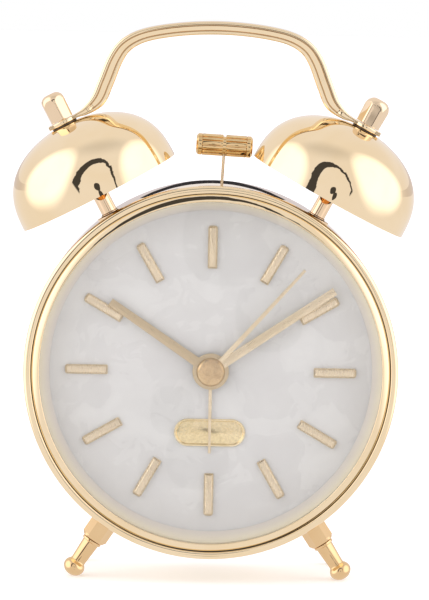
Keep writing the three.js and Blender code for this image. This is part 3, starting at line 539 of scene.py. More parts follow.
inner_bead = rolled(50.02, 0.23, [(-75, 19, 0.28), (19, 28, 13.0), (28, 45, 0.7)])
outer_bead = rolled(52.6, 0.272, [(-66, -12, 0.35), (-12, 25, 1.93), (25, 90, 1.1)])
bezel_section = inner_bead + [(inner_bead[-1][0] + 0.1, inner_bead[-1][1] + 0.1)]
bezel_section += outer_bead + filleted([
    (outer_bead[-1][0], 6.2, 0.12),
    (54.05, 6.2, 0.12),
    (54.05, 3.45, 0.05),
    (52.1, 3.45, 0.05),
    (52.1, 2.05, 0.05),
    (50.02, 2.05, 0.05),
])
bezel = spun("bezel_ring", bezel_section, 320, at(0, 0, 0), BACKWARDS, 60)
piece("bezel_ring", bezel, GOLD, "case", "polished_gold", "front_bezel")

# a dark ring along the bottom of the groove: painted shade, where the groove's walls shade its
# floor
groove_section = filleted([
    (52.36, 0.82, 0.02), (52.62, 0.82, 0.02), (52.62, 1.2, 0.02), (52.36, 1.2, 0.02),
])
GROOVE_SHADE = plated("groove_lacquer", (0.10, 0.085, 0.06), (0.06, 0.05, 0.04), (0.3, 0.5), 300.0)
groove_ring = spun("bezel_groove", groove_section, 320, at(0, 0, 0), BACKWARDS)
piece("bezel_groove", groove_ring, GROOVE_SHADE, "case", "polished_gold")


# ---- Lens -----------------------------------------------------------------------------------
# Clear flat glass with a softened edge, held behind the bezel's lip. Its haze is very faint.


def make_glass():
    made, tree, shader = material("lens_glass", 0.02, 0.0, transmission_weight=1.0)
    place = place_on(tree)
    haze = noise(tree, place, 30.0, 3.0)
    colour = blended(tree, haze.outputs[0], (0.99, 0.995, 0.99), (1.0, 1.0, 1.0))
    film = fade(tree, haze.outputs[0], 0.4, 0.8, 0.0, 0.015)
    painted(tree, shader, colour, film)
    # light passes straight through to the dial
    path = node(tree, "ShaderNodeLightPath")
    passes = calc(tree, "MAXIMUM", path.outputs["Is Shadow Ray"], path.outputs["Is Diffuse Ray"])
    through = node(tree, "ShaderNodeBsdfTransparent", in0=(0.95, 0.955, 0.95, 1))
    mixed = node(tree, "ShaderNodeMixShader", in0=passes, in1=shader.outputs[0],
                 in2=through.outputs[0])
    tree.links.new(mixed.outputs[0], tree.nodes["Material Output"].inputs[0])
    return made


lens_section = filleted([(0, 2.35, 0), (51.7, 2.35, 0.15), (51.7, 3.25, 0.15), (0, 3.25, 0)])
lens = spun("lens_glass", lens_section, 256, at(0, 0, 0), BACKWARDS)
piece("lens_glass", lens, make_glass(), "case", "lens_glass", "lens")


# ---- Dial ring and dial ---------------------------------------------------------------------
# A sloping satin beige ring leads down to the dial, a plate printed with a mother-of-pearl
# effect: broad overlapping flakes in pale grey under a clear lacquer.


def make_ring_look():
    made, tree, shader = material("ring_satin", 0.34, 0.0, coat_weight=0.25)
    place = place_on(tree)
    grain = noise(tree, place, 700.0, 3.0)
    depth = node(tree, "ShaderNodeSeparateXYZ", in0=place).outputs[1]
    front = DIAL_CENTRE.y
    slope = fade(tree, depth, front + 3.4 * MM, front + 7.8 * MM)
    colour = blended(tree, slope, (0.83, 0.76, 0.575), (0.71, 0.66, 0.59))
    colour = blended(tree, fade(tree, grain.outputs[0], 0.4, 0.6, 0.0, 0.1), colour,
                     (0.78, 0.72, 0.61))
    painted(tree, shader, colour)
    bumped(tree, shader, grain.outputs[0], 1e-5)
    return made


def make_pearl():
    made, tree, shader = material("pearl", 0.28, 0.0, coat_weight=0.4)
    place = place_on(tree)
    wander = noise(tree, place, 55.0, 2.0)
    bent = node(tree, "ShaderNodeVectorMath", {"operation": "MULTIPLY_ADD"},
                in0=wander.outputs[1], in1=(0.016, 0.0, 0.016), in2=place)
    shades = []
    for scale, size in (((120.0, 1.0, 55.0), 1.0), ((48.0, 1.0, 130.0), 1.3)):
        spread = node(tree, "ShaderNodeMapping", vector=bent.outputs[0],
                      rotation=(0.0, 0.5 * size, 0.0), scale=scale)
        flakes = node(tree, "ShaderNodeTexVoronoi", {"feature": "SMOOTH_F1"},
                      vector=spread.outputs[0], scale=size)
        tone = node(tree, "ShaderNodeSeparateColor", in0=flakes.outputs["Color"]).outputs[0]
        shades.append(tone)
    veins = noise(tree, bent.outputs[0], 180.0, 6.0, distortion=1.5)
    mixed = calc(tree, "ADD", calc(tree, "MULTIPLY", shades[0], 0.4),
                 calc(tree, "MULTIPLY", shades[1], 0.35))
    mixed = calc(tree, "ADD", mixed, calc(tree, "MULTIPLY", veins.outputs[0], 0.35))
    shade = fade(tree, mixed, 0.25, 0.8)
    colour = blended(tree, shade, (0.70, 0.70, 0.685), (0.785, 0.79, 0.77))
    painted(tree, shader, colour, fade(tree, shade, 0.0, 1.0, 0.2, 0.38))
    bumped(tree, shader, mixed, 4e-5)
    return made


ring_section = filleted([
    (50.0, 3.6, 0.1), (46.8, 7.75, 0.15), (46.8, 7.85, 0.02), (52.4, 7.85, 0.1),
    (52.4, 3.6, 0.1),
])
dial_ring = spun("dial_slope", ring_section, 256, at(0, 0, 0), BACKWARDS)
piece("dial_slope", dial_ring, make_ring_look(), "case", "rehaut", "dial_ring")

dial_section = filleted([
    (4.0, 8.0, 0.1), (52.4, 8.0, 0.1), (52.4, 9.0, 0.1), (4.0, 9.0, 0.1),
])
dial = spun("dial_face", dial_section, 192, at(0, 0, 0), BACKWARDS)
piece("dial_face", dial, make_pearl(), "case", "pearl_dial", "dial_plate")
ON_DIAL = 7.95  # the rear of what stands on the dial, a hair in front of it


# ---- Hour markers ---------------------------------------------------------------------------
# Twelve solid bars in satin champagne gold, bevelled all round. One bar is made and then set
# round the dial.


def slab(name, outline, front, rear, bevel, steps=3):
    """A flat piece cut to an outline of (x, height) points, with rounded front edges."""
    shape = bmesh.new()
    corners = [shape.verts.new((x, rear, h)) for x, h in outline]
    face = shape.faces.new(corners)
    grown = bmesh.ops.extrude_face_region(shape, geom=[face])
    raised = [g for g in grown["geom"] if isinstance(g, bmesh.types.BMVert)]
    bmesh.ops.translate(shape, verts=raised, vec=(0, front - rear, 0))
    bmesh.ops.recalc_face_normals(shape, faces=shape.faces)
    rim = [e for e in shape.edges if all(abs(v.co.y - front) < 1e-6 for v in e.verts)]
    if bevel:
        bmesh.ops.bevel(shape, geom=rim, offset=bevel, segments=steps, affect="EDGES",
                        profile=0.5, clamp_overlap=True)
    mesh = bpy.data.meshes.new(name)
    shape.to_mesh(mesh)
    shape.free()
    return eased(mesh)


def sleeve(steps, size):
    """The faces of a closed tube through rings of equal size, capped at both ends."""
    faces = []
    for i in range(steps):
        for k in range(size):
            n = (k + 1) % size
            faces.append((i * size + k, i * size + n, (i + 1) * size + n, (i + 1) * size + k))
    return faces + [tuple(range(size)), tuple(range(steps * size, (steps + 1) * size))]


def stacked(name, rings, sharp=32):
    """A closed solid through outlines of equal length, each a list of (x, height) at a
    depth, from one capped end to the other."""
    vertices = [Vector((x, depth, h)) for depth, outline in rings for x, h in outline]
    return mesh_from(name, vertices, sleeve(len(rings) - 1, len(rings[0][1])), sharp)


def box_outline(width, height, x=0.0, h=0.0):
    return [(x - width / 2, h - height / 2), (x + width / 2, h - height / 2),
            (x + width / 2, h + height / 2), (x - width / 2, h + height / 2)]


def to_clock(mesh, turn=0.0, place=(0, 0, 0)):
    """Takes a mesh drawn in millimetres to its place on the clock, turned clockwise."""
    spin = Matrix.Rotation(math.radians(turn), 4, "Y")
    size = Matrix.Diagonal((MM, MM, MM, 1))
    mesh.transform(Matrix.Translation(at(*place)) @ size @ spin)
    return mesh


def turned(name, section, turns):
    """A body of revolution round the Y axis, drawn in millimetres."""
    mesh = spun(name, section, turns, Vector(), BACKWARDS)
    mesh.transform(Matrix.Diagonal((1 / MM, 1 / MM, 1 / MM, 1)))
    return mesh


def shape_tree(name, *inputs):
    """A new Geometry Nodes tree and the node that gives its inputs."""
    tree = bpy.data.node_groups.new(name, "GeometryNodeTree")
    tree.interface.new_socket("Geometry", in_out="OUTPUT", socket_type="NodeSocketGeometry")
    for label, kind in inputs:
        tree.interface.new_socket(label, in_out="INPUT", socket_type="NodeSocket" + kind)
    return tree, node(tree, "NodeGroupInput")


def finished(tree, given, shapes):
    """Ends a tree: makes its shapes real and gives them their finish."""
    real = node(tree, "GeometryNodeRealizeInstances", in0=shapes.outputs[0])
    finish = node(tree, "GeometryNodeSetMaterial", geometry=real.outputs[0],
                  material=given.outputs["Finish"])
    node(tree, "NodeGroupOutput", in0=finish.outputs[0])
    return tree


def spread_tree():
    """Copies of a piece set round the Y axis, each turned to face outwards."""
    tree, given = shape_tree("spread_round", ("Piece", "Object"), ("Count", "Int"),
                             ("Radius", "Float"), ("First Turn", "Float"),
                             ("Finish", "Material"))
    step = calc(tree, "DIVIDE", 2 * math.pi, given.outputs["Count"])
    turn = calc(tree, "ADD", given.outputs["First Turn"],
                calc(tree, "MULTIPLY", node(tree, "GeometryNodeInputIndex").outputs[0], step))
    spot = node(tree, "ShaderNodeCombineXYZ",
                in0=calc(tree, "MULTIPLY", calc(tree, "SINE", turn), given.outputs["Radius"]),
                in2=calc(tree, "MULTIPLY", calc(tree, "COSINE", turn), given.outputs["Radius"]))
    points = node(tree, "GeometryNodePoints", count=given.outputs["Count"],
                  position=spot.outputs[0])
    source = node(tree, "GeometryNodeObjectInfo", object=given.outputs["Piece"])
    facing = node(tree, "ShaderNodeCombineXYZ", in1=turn)
    copies = node(tree, "GeometryNodeInstanceOnPoints", points=points.outputs[0],
                  instance=source.outputs["Geometry"], rotation=facing.outputs[0])
    return finished(tree, given, copies)


def grown(name, tree, **values):
    """The plain mesh that a Geometry Nodes tree makes from its named inputs."""
    host = added(name + "_host", bpy.data.meshes.new(name + "_host"))
    modifier = host.modifiers.new(name, "NODES")
    modifier.node_group = tree
    for item in tree.interface.items_tree:
        key = item.name.lower().replace(" ", "_")
        if item.in_out == "INPUT" and key in values:
            modifier[item.identifier] = values[key]
    shown = host.evaluated_get(bpy.context.evaluated_depsgraph_get())
    mesh = bpy.data.meshes.new_from_object(shown)
    mesh.name = name
    bpy.data.objects.remove(host)
    return mesh


SPREAD = spread_tree()


def set_round(name, mesh, count, radius, finish, first_turn=0.0):
    """A mesh repeated round the Y axis."""
    source = added(name + "_source", mesh)
    result = grown(name, SPREAD, piece=source, count=count, radius=radius,
                   first_turn=first_turn, finish=finish)
    bpy.data.objects.remove(source)
    return result


def satin(name, light, dark, rough=(0.22, 0.4), turn=0.0, hair=0.3):
    """Satin-finished metal with fine brushing along one direction."""
    made, tree, shader = material(name, metallic=1.0)
    place = place_on(tree)
    facing = node(tree, "ShaderNodeMapping", vector=place, rotation=(0.0, turn, 0.0))
    drawn = node(tree, "ShaderNodeMapping", vector=facing.outputs[0],
                 scale=(4000.0, 4000.0, 260.0))
    hairs = noise(tree, drawn.outputs[0], 1.0, 3.0)
    clouds = noise(tree, place, 90.0, 2.0)
    shade = calc(tree, "ADD", calc(tree, "MULTIPLY", hairs.outputs[0], hair),
                 calc(tree, "MULTIPLY", clouds.outputs[0], 1.0 - hair))
    painted(tree, shader, blended(tree, shade, light, dark),
            fade(tree, hairs.outputs[0], 0.3, 0.7, *rough))
    bumped(tree, shader, hairs.outputs[0], 1.5e-6)
    return made


CHAMPAGNE = satin("champagne_satin", (0.86, 0.73, 0.52), (0.79, 0.66, 0.46), hair=0.12)
marker_low, marker_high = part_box("hour_marker_12")
MARKER_NARROWER, MARKER_SHORTER, MARKER_INWARD = 0.25, 0.6, 0.7
MARKER_WIDTH = (marker_high.x - marker_low.x) / MM - MARKER_NARROWER
MARKER_LENGTH = (marker_high.z - marker_low.z) / MM - MARKER_SHORTER
MARKER_RADIUS = ((marker_low.z + marker_high.z) / 2 - DIAL_CENTRE.z) / MM - MARKER_INWARD


def marker_outline(inset):
    """A bar whose outer end is rounder than its inner end."""
    across = MARKER_WIDTH / 2 - inset
    along = MARKER_LENGTH / 2 - inset
    inner = max(0.06, 0.3 - inset)
    outer = max(0.12, 0.8 - inset)
    return filleted([(-across, -along, inner), (across, -along, inner), (across, along, outer),
                     (-across, along, outer)])


bar = stacked("marker", [
    (depth, marker_outline(inset))
    for depth, inset in ((0.0, 0.0), (-0.7, 0.0), (-0.78, 0.04), (-1.28, 0.5), (-1.35, 0.62))
])
markers = set_round("hour_bars", bar, 12, MARKER_RADIUS, CHAMPAGNE)
to_clock(markers, place=(0, ON_DIAL, 0))
piece("hour_bars", markers, CHAMPAGNE, "case", "satin_gold",
      *[f"hour_marker_{i:02d}" for i in range(1, 13)])


# ---- Badge ----------------------------------------------------------------------------------
# A plain stamped oval with a raised rim round a sunken, finely grained floor.


def stadium(length, height, inset, steps=16):
    """A bar with round ends, as (x, height) points."""
    radius = height / 2 - inset
    reach = length / 2 - height / 2
    points = []
    for side, start in ((1, -90), (-1, 90)):
        for k in range(steps + 1):
            angle = math.radians(start + 180 * k / steps)
            points.append((side * reach + radius * math.cos(angle), radius * math.sin(angle)))
    return points


badge_low, badge_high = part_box("name_plate")
BADGE_LENGTH = (badge_high.x - badge_low.x) / MM
BADGE_HEIGHT = (badge_high.z - badge_low.z) / MM
badge_rings = [
    (depth, stadium(BADGE_LENGTH, BADGE_HEIGHT, inset))
    for depth, inset in (
        (ON_DIAL, 0.0), (7.52, 0.0), (7.42, 0.06), (7.38, 0.16), (7.38, 0.42), (7.42, 0.5),
        (7.74, 0.74), (7.8, 0.9),
    )
]
BADGE_RISE = 0.45
BADGE_PLACE = (0, 0, ((badge_low.z + badge_high.z) / 2 - DIAL_CENTRE.z) / MM + BADGE_RISE)
BADGE_GOLD = plated("badge_gold", (0.93, 0.79, 0.50), (0.88, 0.73, 0.44), (0.06, 0.14), 400.0)
badge = to_clock(stacked("dial_badge", badge_rings), place=BADGE_PLACE)
piece("dial_badge", badge, BADGE_GOLD, "case", "deep_gold", "name_plate")

GRAINED_GOLD = plated("grained_gold", (0.90, 0.76, 0.46), (0.80, 0.65, 0.37), (0.16, 0.3), 1500.0,
                      4e-5)
badge_floor = to_clock(stacked("badge_floor", [
    (depth, stadium(BADGE_LENGTH, BADGE_HEIGHT, inset)) for depth, inset in (
        (7.9, 0.8), (7.75, 0.8), (7.73, 0.84))
]), place=BADGE_PLACE)
piece("badge_floor", badge_floor, GRAINED_GOLD, "case", "deep_gold")


# ---- Hands ----------------------------------------------------------------------------------
# Stamped and satin finished, each with a round boss on its own tube, solid here. The long bars
# have square ends; the second hand is a needle with the polished cap over the stack.


def hand_outline(hub, length, wide, narrow, steps=40):
    """A bar that grows out of a round boss, pointing up, as (x, height) points."""
    angle = math.asin(wide / 2 / hub)
    points = []
    for k in range(steps + 1):
        a = math.pi / 2 - angle - (2 * math.pi - 2 * angle) * k / steps
        points.append((hub * math.cos(a), hub * math.sin(a)))
    points += [(-narrow / 2, length), (narrow / 2, length)]
    return points[::-1]


HOUR_TURN, MINUTE_TURN, SECOND_TURN, ALARM_TURN = -56.0, 56.0, 41.8, 180.0
# the hour hand's satin is a darker copy of the minute hand's: painted shade for the light that
# falls on the hour hand
HOUR_GOLD_SHADED = satin("hour_satin", (0.66, 0.535, 0.34), (0.585, 0.465, 0.29), (0.26, 0.42), 0.98)
MINUTE_GOLD = satin("minute_satin", (0.88, 0.75, 0.53), (0.81, 0.68, 0.47), (0.24, 0.4), -0.98)
CAP_GOLD = plated("cap_gold", (0.72, 0.53, 0.30), (0.62, 0.44, 0.24), (0.16, 0.34), 500.0,
                  4e-5)
hands = [
    # name, node, body, front, thickness, boss, length, wide, narrow, turn, finish, slot
    ("alarm_pointer", "alarm_hand", "alarm_work", 6.9, 0.3, 3.0, 24.0, 1.0, 0.8, ALARM_TURN,
     CHAMPAGNE, "satin_gold"),
    ("hour_bar", "hour_hand", "hour_work", 6.0, 0.35, 5.3, 35.5, 2.8, 2.3, HOUR_TURN,
     HOUR_GOLD_SHADED, "satin_gold"),
    ("minute_bar", "minute_hand", "minute_work", 5.2, 0.35, 3.6, 43.1, 2.7, 2.3, MINUTE_TURN,
     MINUTE_GOLD, "satin_gold"),
]
for name, cad, body, front, thick, hub, length, wide, narrow, turn, finish, slot in hands:
    outline = hand_outline(hub, length, wide, narrow)
    blade = slab(name, outline, front, front + thick, 0.12, 2)
    tube_reach = (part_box(cad)[1].y - DIAL_CENTRE.y) / MM
    tube = turned(name + "_tube", filleted([
        (0.0, front + 0.1, 0), (hub * 0.45, front + 0.1, 0.05), (hub * 0.45, tube_reach, 0.1),
        (0.0, tube_reach, 0)]), 48)
    whole = to_clock(merged(name, blade, tube), turn)
    eased(whole)
    piece(name, whole, finish, body, slot, cad)

needle = to_clock(slab("needle", [(-0.8, -1), (0.8, -1), (0.4, 40.5), (-0.4, 40.5)],
                       4.5, 4.8, 0.08, 2), SECOND_TURN)
cap_reach = (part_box("second_hand")[1].y - DIAL_CENTRE.y) / MM
cap = spun("cap", filleted([
    (0.0, 3.6, 0), (3.3, 3.62, 0.08), (3.75, 3.78, 0.08), (4.2, 4.25, 0.12), (4.2, 4.75, 0.1),
    (0.9, 4.75, 0.1),
    (0.9, cap_reach, 0.1), (0.0, cap_reach, 0),
]), 96, at(0, 0, 0), BACKWARDS)
piece("second_needle", needle, MINUTE_GOLD, "second_work", "deep_gold")
piece("second_cap", cap, CAP_GOLD, "second_work", "deep_gold", "second_hand")


# ---- Bells ----------------------------------------------------------------------------------
# Two spun steel domes, mirror polished and plated, tilted outwards on their posts. The rim is
# rolled smooth and each crown is pierced for its stud.

BELL_TILT = 28.0
POST_ANGLE = 34.2
BELL_RADIUS = 24.9
BELL_HEIGHT = 22.5
BELL_WALL = 0.8
RIM_RISE = 7.3
CROWN = RIM_RISE + BELL_HEIGHT
STUD = 1.45
SIDES = ((-1, "left"), (1, "right"))


def post_foot(side):
    angle = math.radians(POST_ANGLE)
    return at(side * CASE_RADIUS * math.sin(angle), STRIKER_DEPTH, CASE_RADIUS * math.cos(angle))


def leaning(side):
    angle = math.radians(BELL_TILT)
    return Vector((side * math.sin(angle), 0, math.cos(angle)))


def dome(radius, top, steps=72):
    """Half of a bell's section, from the rim to the hole in its crown."""
    points = []
    for k in range(steps + 1):
        h = top * math.sin(math.pi / 2 * k / steps)
        r = radius * math.sqrt(max(0.0, 1 - (h / top) ** 2.7))
        points.append((max(r, STUD), h + RIM_RISE))
    return [p for i, p in enumerate(points) if i == 0 or p[0] > STUD] + [
        (STUD, top + RIM_RISE - 0.001)]


bell_section = dome(BELL_RADIUS, BELL_HEIGHT)
bell_section += dome(BELL_RADIUS - BELL_WALL, BELL_HEIGHT - BELL_WALL)[::-1]
for side, label in SIDES:
    bell = spun(f"bell_dome_{label}", bell_section, 224, post_foot(side), leaning(side), 50)
    piece(f"bell_dome_{label}", bell, GOLD, "case", "polished_gold", f"bell_{label}")


# ---- Bell posts -----------------------------------------------------------------------------
# Turned columns whose stepped foot is sunk a little in the case. A stud runs on from each
# column through bell and handle into the cap nut.

ROSE_GOLD = plated("rose_gold", (0.93, 0.73, 0.50), (0.90, 0.69, 0.45), (0.03, 0.08))
shoulder = CROWN - BELL_WALL - 0.2
nut_base = CROWN + 1.2 + 0.4
post_section = filleted([
    (0, -1.2, 0), (4.2, -1.2, 0.1), (4.2, 0.35, 0.12), (2.75, 0.5, 0.1), (2.75, 0.75, 0.08),
    (2.4, 0.9, 0.1), (2.4, shoulder, 0.15), (1.25, shoulder, 0.1), (1.25, nut_base + 4, 0.2),
    (0, nut_base + 4, 0),
])
for side, label in SIDES:
    post = spun(f"bell_column_{label}", post_section, 64, post_foot(side), leaning(side))
    piece(f"bell_column_{label}", post, ROSE_GOLD, "case", "polished_gold",
          f"bell_post_{label}")


# ---- Cap nuts -------------------------------------------------------------------------------
# Tall hexagon cap nuts with a turned, truncated dome and a small centre mark.

NUT_HEIGHT = 8.3
NUT_FLATS = 6.8
DOME_HEIGHT, DOME_FLAT, DOME_REACH = 3.1, 1.25, 2.55
nut_top = nut_base + NUT_HEIGHT
dome_start = nut_top - DOME_HEIGHT
nut_crown = [(DOME_FLAT + DOME_REACH * math.cos(math.radians(a)),
              dome_start + DOME_HEIGHT * math.sin(math.radians(a))) for a in range(0, 91, 6)]
nut_section = filleted([(0, nut_base, 0), (3.6, nut_base, 0.1), (3.8, nut_base + 0.3, 0.1)])
nut_section += [*nut_crown, (0.5, nut_top), (0.35, nut_top - 0.12), (0, nut_top - 0.4)]
NUT_GOLD = plated("nut_gold", (0.92, 0.74, 0.51), (0.88, 0.69, 0.46), (0.04, 0.1))
for (side, label), turn in zip(SIDES, (math.radians(22), 0.0)):
    nut = spun(f"cap_nut_{label}", nut_section, 120, post_foot(side), leaning(side), 25,
               NUT_FLATS, turn)
    piece(f"cap_nut_{label}", nut, NUT_GOLD, "case", "polished_gold", f"bell_nut_{label}")


# ---- Handle ---------------------------------------------------------------------------------
# A die-cast bow with a long shallow groove along its front, polished and plated. Each leg
# thins into a plate that is clamped between bell and cap nut.

HANDLE_HALF_DEPTH = 3.2


def smooth_line(stations, count):
    """Points on a centripetal Catmull-Rom curve through stations of equal size."""
    first = 2 * stations[0] - stations[1]
    last = 2 * stations[-1] - stations[-2]
    line = [first, *stations, last]
    spans = len(stations) - 1
    points = []
    for i in range(count + 1):
        place = min(i / count * spans, spans - 1e-9)
        k = int(place)
        p = line[k:k + 4]
        knots = [0.0]
        for a, b in zip(p, p[1:]):
            knots.append(knots[-1] + math.sqrt((b - a).length))
        t = knots[1] + (place - k) * (knots[2] - knots[1])
        level = p
        for order in (1, 2, 3):
            blends = []
            for m in range(len(level) - 1):
                low, high = (knots[m], knots[m + order]) if order < 3 else knots[1:3]
                share = (t - low) / (high - low)
                blends.append(level[m] * (1 - share) + level[m + 1] * share)
            level = blends
        points.append(level[0])
    return points


def handle_stations():
    tilt = math.radians(BELL_TILT)
    middle = CROWN + 0.2 + 0.6
    foot = (CASE_RADIUS * math.sin(math.radians(POST_ANGLE)),
            CASE_RADIUS * math.cos(math.radians(POST_ANGLE)))

    def across(s):
        return (foot[0] + middle * math.sin(tilt) + s * math.cos(tilt),
                foot[1] + middle * math.cos(tilt) - s * math.sin(tilt))

    half = [((0, 100.0), 1.95), ((14.4, 98.9), 1.95), ((22.6, 96.9), 2.0), ((26.9, 94.2), 2.15),
            ((29.4, 90.6), 2.3), ((32.3, 83.3), 2.35), ((34.4, 78.4), 2.2),
            (across(-7.6), 1.2), (across(-4.4), 0.6), (across(4.6), 0.6)]
    whole = [((-x, z), t) for (x, z), t in half[:0:-1]] + half
    return [Vector((x, z, t)) for (x, z), t in whole]


def bar_section(half, groove):
    """The bar's section, as (across, depth) points: rounded, with a groove in its front."""
    d = HANDLE_HALF_DEPTH
    corner = min(0.9, half * 0.38)
    lip = 0.45 * half
    points = [(-half + corner, -d), (-lip - 0.12, -d), (-lip, -d + groove),
              (-lip + 0.14, -d + groove), (-lip + 0.3, -d + groove * 0.75),
              (lip - 0.3, -d + groove * 0.75), (lip - 0.14, -d + groove), (lip, -d + groove),
              (lip + 0.12, -d), (half - corner, -d)]
    for cx, cy, start in ((half - corner, -d + corner, -90), (half - corner, d - corner, 0),
                          (-half + corner, d - corner, 90), (-half + corner, -d + corner, 180)):
        for k in range(1 if start == -90 else 0, 6):
            angle = math.radians(start + 18 * k)
            points.append((cx + corner * math.cos(angle), cy + corner * math.sin(angle)))
    return points[:-1]


HANDLE_STEPS = 220


def make_handle_mesh():
    line = smooth_line(handle_stations(), HANDLE_STEPS)
    vertices = []
    for i, p in enumerate(line):
        ahead = line[min(i + 1, HANDLE_STEPS)] - line[max(i - 1, 0)]
        normal = Vector((-ahead.y, ahead.x)).normalized()
        groove = 0.8 * min(1.0, max(0.0, (p.z - 1.35) / 0.35))
        section = bar_section(p.z, groove)
        size = len(section)
        for n, d in section:
            vertices.append(at(p.x + normal.x * n, STRIKER_DEPTH + d, p.y + normal.y * n))
    return mesh_from("handle_bow", vertices, sleeve(HANDLE_STEPS, size), 40)


pad_section = filleted([
    (1.5, CROWN + 0.2, 0.05), (4.35, CROWN + 0.2, 0.25), (4.35, CROWN + 1.4, 0.3),
    (1.5, CROWN + 1.4, 0.05),
])
pads = [spun("pad", pad_section, 72, post_foot(side), leaning(side)) for side, _ in SIDES]
bow = merged("handle_bow", make_handle_mesh(), *pads)
eased(bow, 40)
piece("handle_bow", bow, GOLD, "case", "polished_gold", "handle")

# the groove's walls are painted darker than its floor: painted shade inside the groove
GROOVE_WALL_SHADE = plated("groove_gold", (0.66, 0.49, 0.29), (0.54, 0.39, 0.22), (0.12, 0.25))
bow.materials.append(GROOVE_WALL_SHADE)
section_size = len(bar_section(1.0, 0.0))
for face in bow.polygons[:HANDLE_STEPS * section_size]:
    if face.index % section_size in (1, 2, 6, 7):
        face.material_index = 1

washer_section = filleted([
    (1.5, CROWN - 0.35, 0.03), (3.9, CROWN - 0.35, 0.08), (3.9, CROWN + 0.19, 0.08),
    (1.5, CROWN + 0.19, 0.03),
])
WASHER_BROWN = plated("washer_brown", (0.13, 0.10, 0.07), (0.08, 0.06, 0.045), (0.35, 0.5), 300.0)
for side, label in SIDES:
    washer = spun(f"bell_washer_{label}", washer_section, 64, post_foot(side), leaning(side))
    piece(f"bell_washer_{label}", washer, WASHER_BROWN, "case", "deep_gold")


# ---- Hammer ---------------------------------------------------------------------------------
# A wire, bent forward and held in the fork of a flat lever, carries a turned head: two rows of
# lengthwise flutes between smooth collars. The lever has no pivot hole here.

HEAD_REACH = 60.0
HEAD_RADIUS = 3.17
HEAD_LENGTH = 16.6
PIVOT_HEIGHT = 5.5
REST_TILT = 2.82
FLUTES = 14


def wire_tree():
    """A round wire along a curve."""
    tree, given = shape_tree("wire_along", ("Path", "Object"), ("Radius", "Float"),
                             ("Sides", "Int"), ("Finish", "Material"))
    path = node(tree, "GeometryNodeObjectInfo", object=given.outputs["Path"])
    ring = node(tree, "GeometryNodeCurvePrimitiveCircle", resolution=given.outputs["Sides"],
                radius=given.outputs["Radius"])
    tube = node(tree, "GeometryNodeCurveToMesh", curve=path.outputs["Geometry"],
                profile_curve=ring.outputs[0], fill_caps=True)
    smooth = node(tree, "GeometryNodeSetShadeSmooth", geometry=tube.outputs[0])
    return finished(tree, given, smooth)


def wire(name, points, radius, finish, sides=20):
    """A wire mesh through points, from a poly curve and the tree above."""
    curve = bpy.data.curves.new(name + "_path", "CURVE")
    curve.dimensions = "3D"
    spline = curve.splines.new("POLY")
    spline.points.add(len(points) - 1)
    for spot, p in zip(spline.points, points):
        spot.co = (*p, 1)
    source = added(name + "_path", curve)
    mesh = grown(name, wire_tree(), path=source, radius=radius, sides=sides, finish=finish)
    bpy.data.objects.remove(source)
    return mesh


LEVER_FRONT, LEVER_BACK = 28.0, 29.2
fork = 38 - PIVOT_HEIGHT
lever_top = fork + 6
lever_outline = [(3 * math.cos(math.radians(a)), 3 * math.sin(math.radians(a)))
                 for a in range(180, 361, 12)]
lever_outline += [(2, 8), (2, fork - 6), (3.6, fork - 4), (3.6, lever_top), (1.3, lever_top),
                  (1.3, fork - 2), (0.9, fork - 3), (-0.9, fork - 3), (-1.3, fork - 2),
                  (-1.3, lever_top), (-3.6, lever_top), (-3.6, fork - 4), (-2, fork - 6),
                  (-2, 8)]
bridge = slab("bridge", box_outline(7.2, 2.6, 0, lever_top - 1.3), LEVER_FRONT, LEVER_BACK, 0.2)
lever = slab("lever", lever_outline, LEVER_FRONT, LEVER_BACK, 0.2)
depth = (LEVER_FRONT + LEVER_BACK) / 2
wire_stations = [Vector((0, d, h)) for d, h in (
    (depth, lever_top - 1.5), (depth, lever_top + 0.5), ((depth + STRIKER_DEPTH) / 2,
     lever_top + 2.2), (STRIKER_DEPTH, lever_top + 4.0), (STRIKER_DEPTH, HEAD_REACH - 8),
    (STRIKER_DEPTH, HEAD_REACH - 0.8))]
STEEL_GOLD = satin("wire_gold", (0.86, 0.74, 0.53), (0.78, 0.66, 0.46), (0.14, 0.28))
stem = wire("stem", smooth_line(wire_stations, 60), 0.4, STEEL_GOLD)
arm = merged("hammer_lever", lever, bridge, stem)
eased(arm)
to_clock(arm, REST_TILT, (0, 0, PIVOT_HEIGHT))
piece("hammer_lever", arm, STEEL_GOLD, "hammer", "satin_gold", "hammer_arm")

half = HEAD_LENGTH / 2
head_section = filleted([
    (0, -half, 0), (2.5, -half, 0.2), (HEAD_RADIUS, -half + 0.6, 0.25),
    (HEAD_RADIUS, -half + 1.7, 0.1), (2.65, -half + 1.85, 0.05), (2.65, half - 1.85, 0.05),
    (HEAD_RADIUS, half - 1.7, 0.1), (HEAD_RADIUS, half - 0.6, 0.25), (2.5, half, 0.2),
    (0, half, 0),
])
core = turned("core", head_section, 96)
HEAD_GOLD = plated("head_gold", (0.84, 0.63, 0.34), (0.76, 0.55, 0.27), (0.03, 0.08), 150.0)


def rib(outline, front, rear, soft):
    """A small bar with all its edges eased."""
    mesh = slab("rib", outline, front, rear, 0)
    shape = bmesh.new()
    shape.from_mesh(mesh)
    bmesh.ops.bevel(shape, geom=list(shape.edges), offset=soft, segments=2, affect="EDGES",
                    profile=0.5, clamp_overlap=True)
    shape.to_mesh(mesh)
    shape.free()
    return mesh


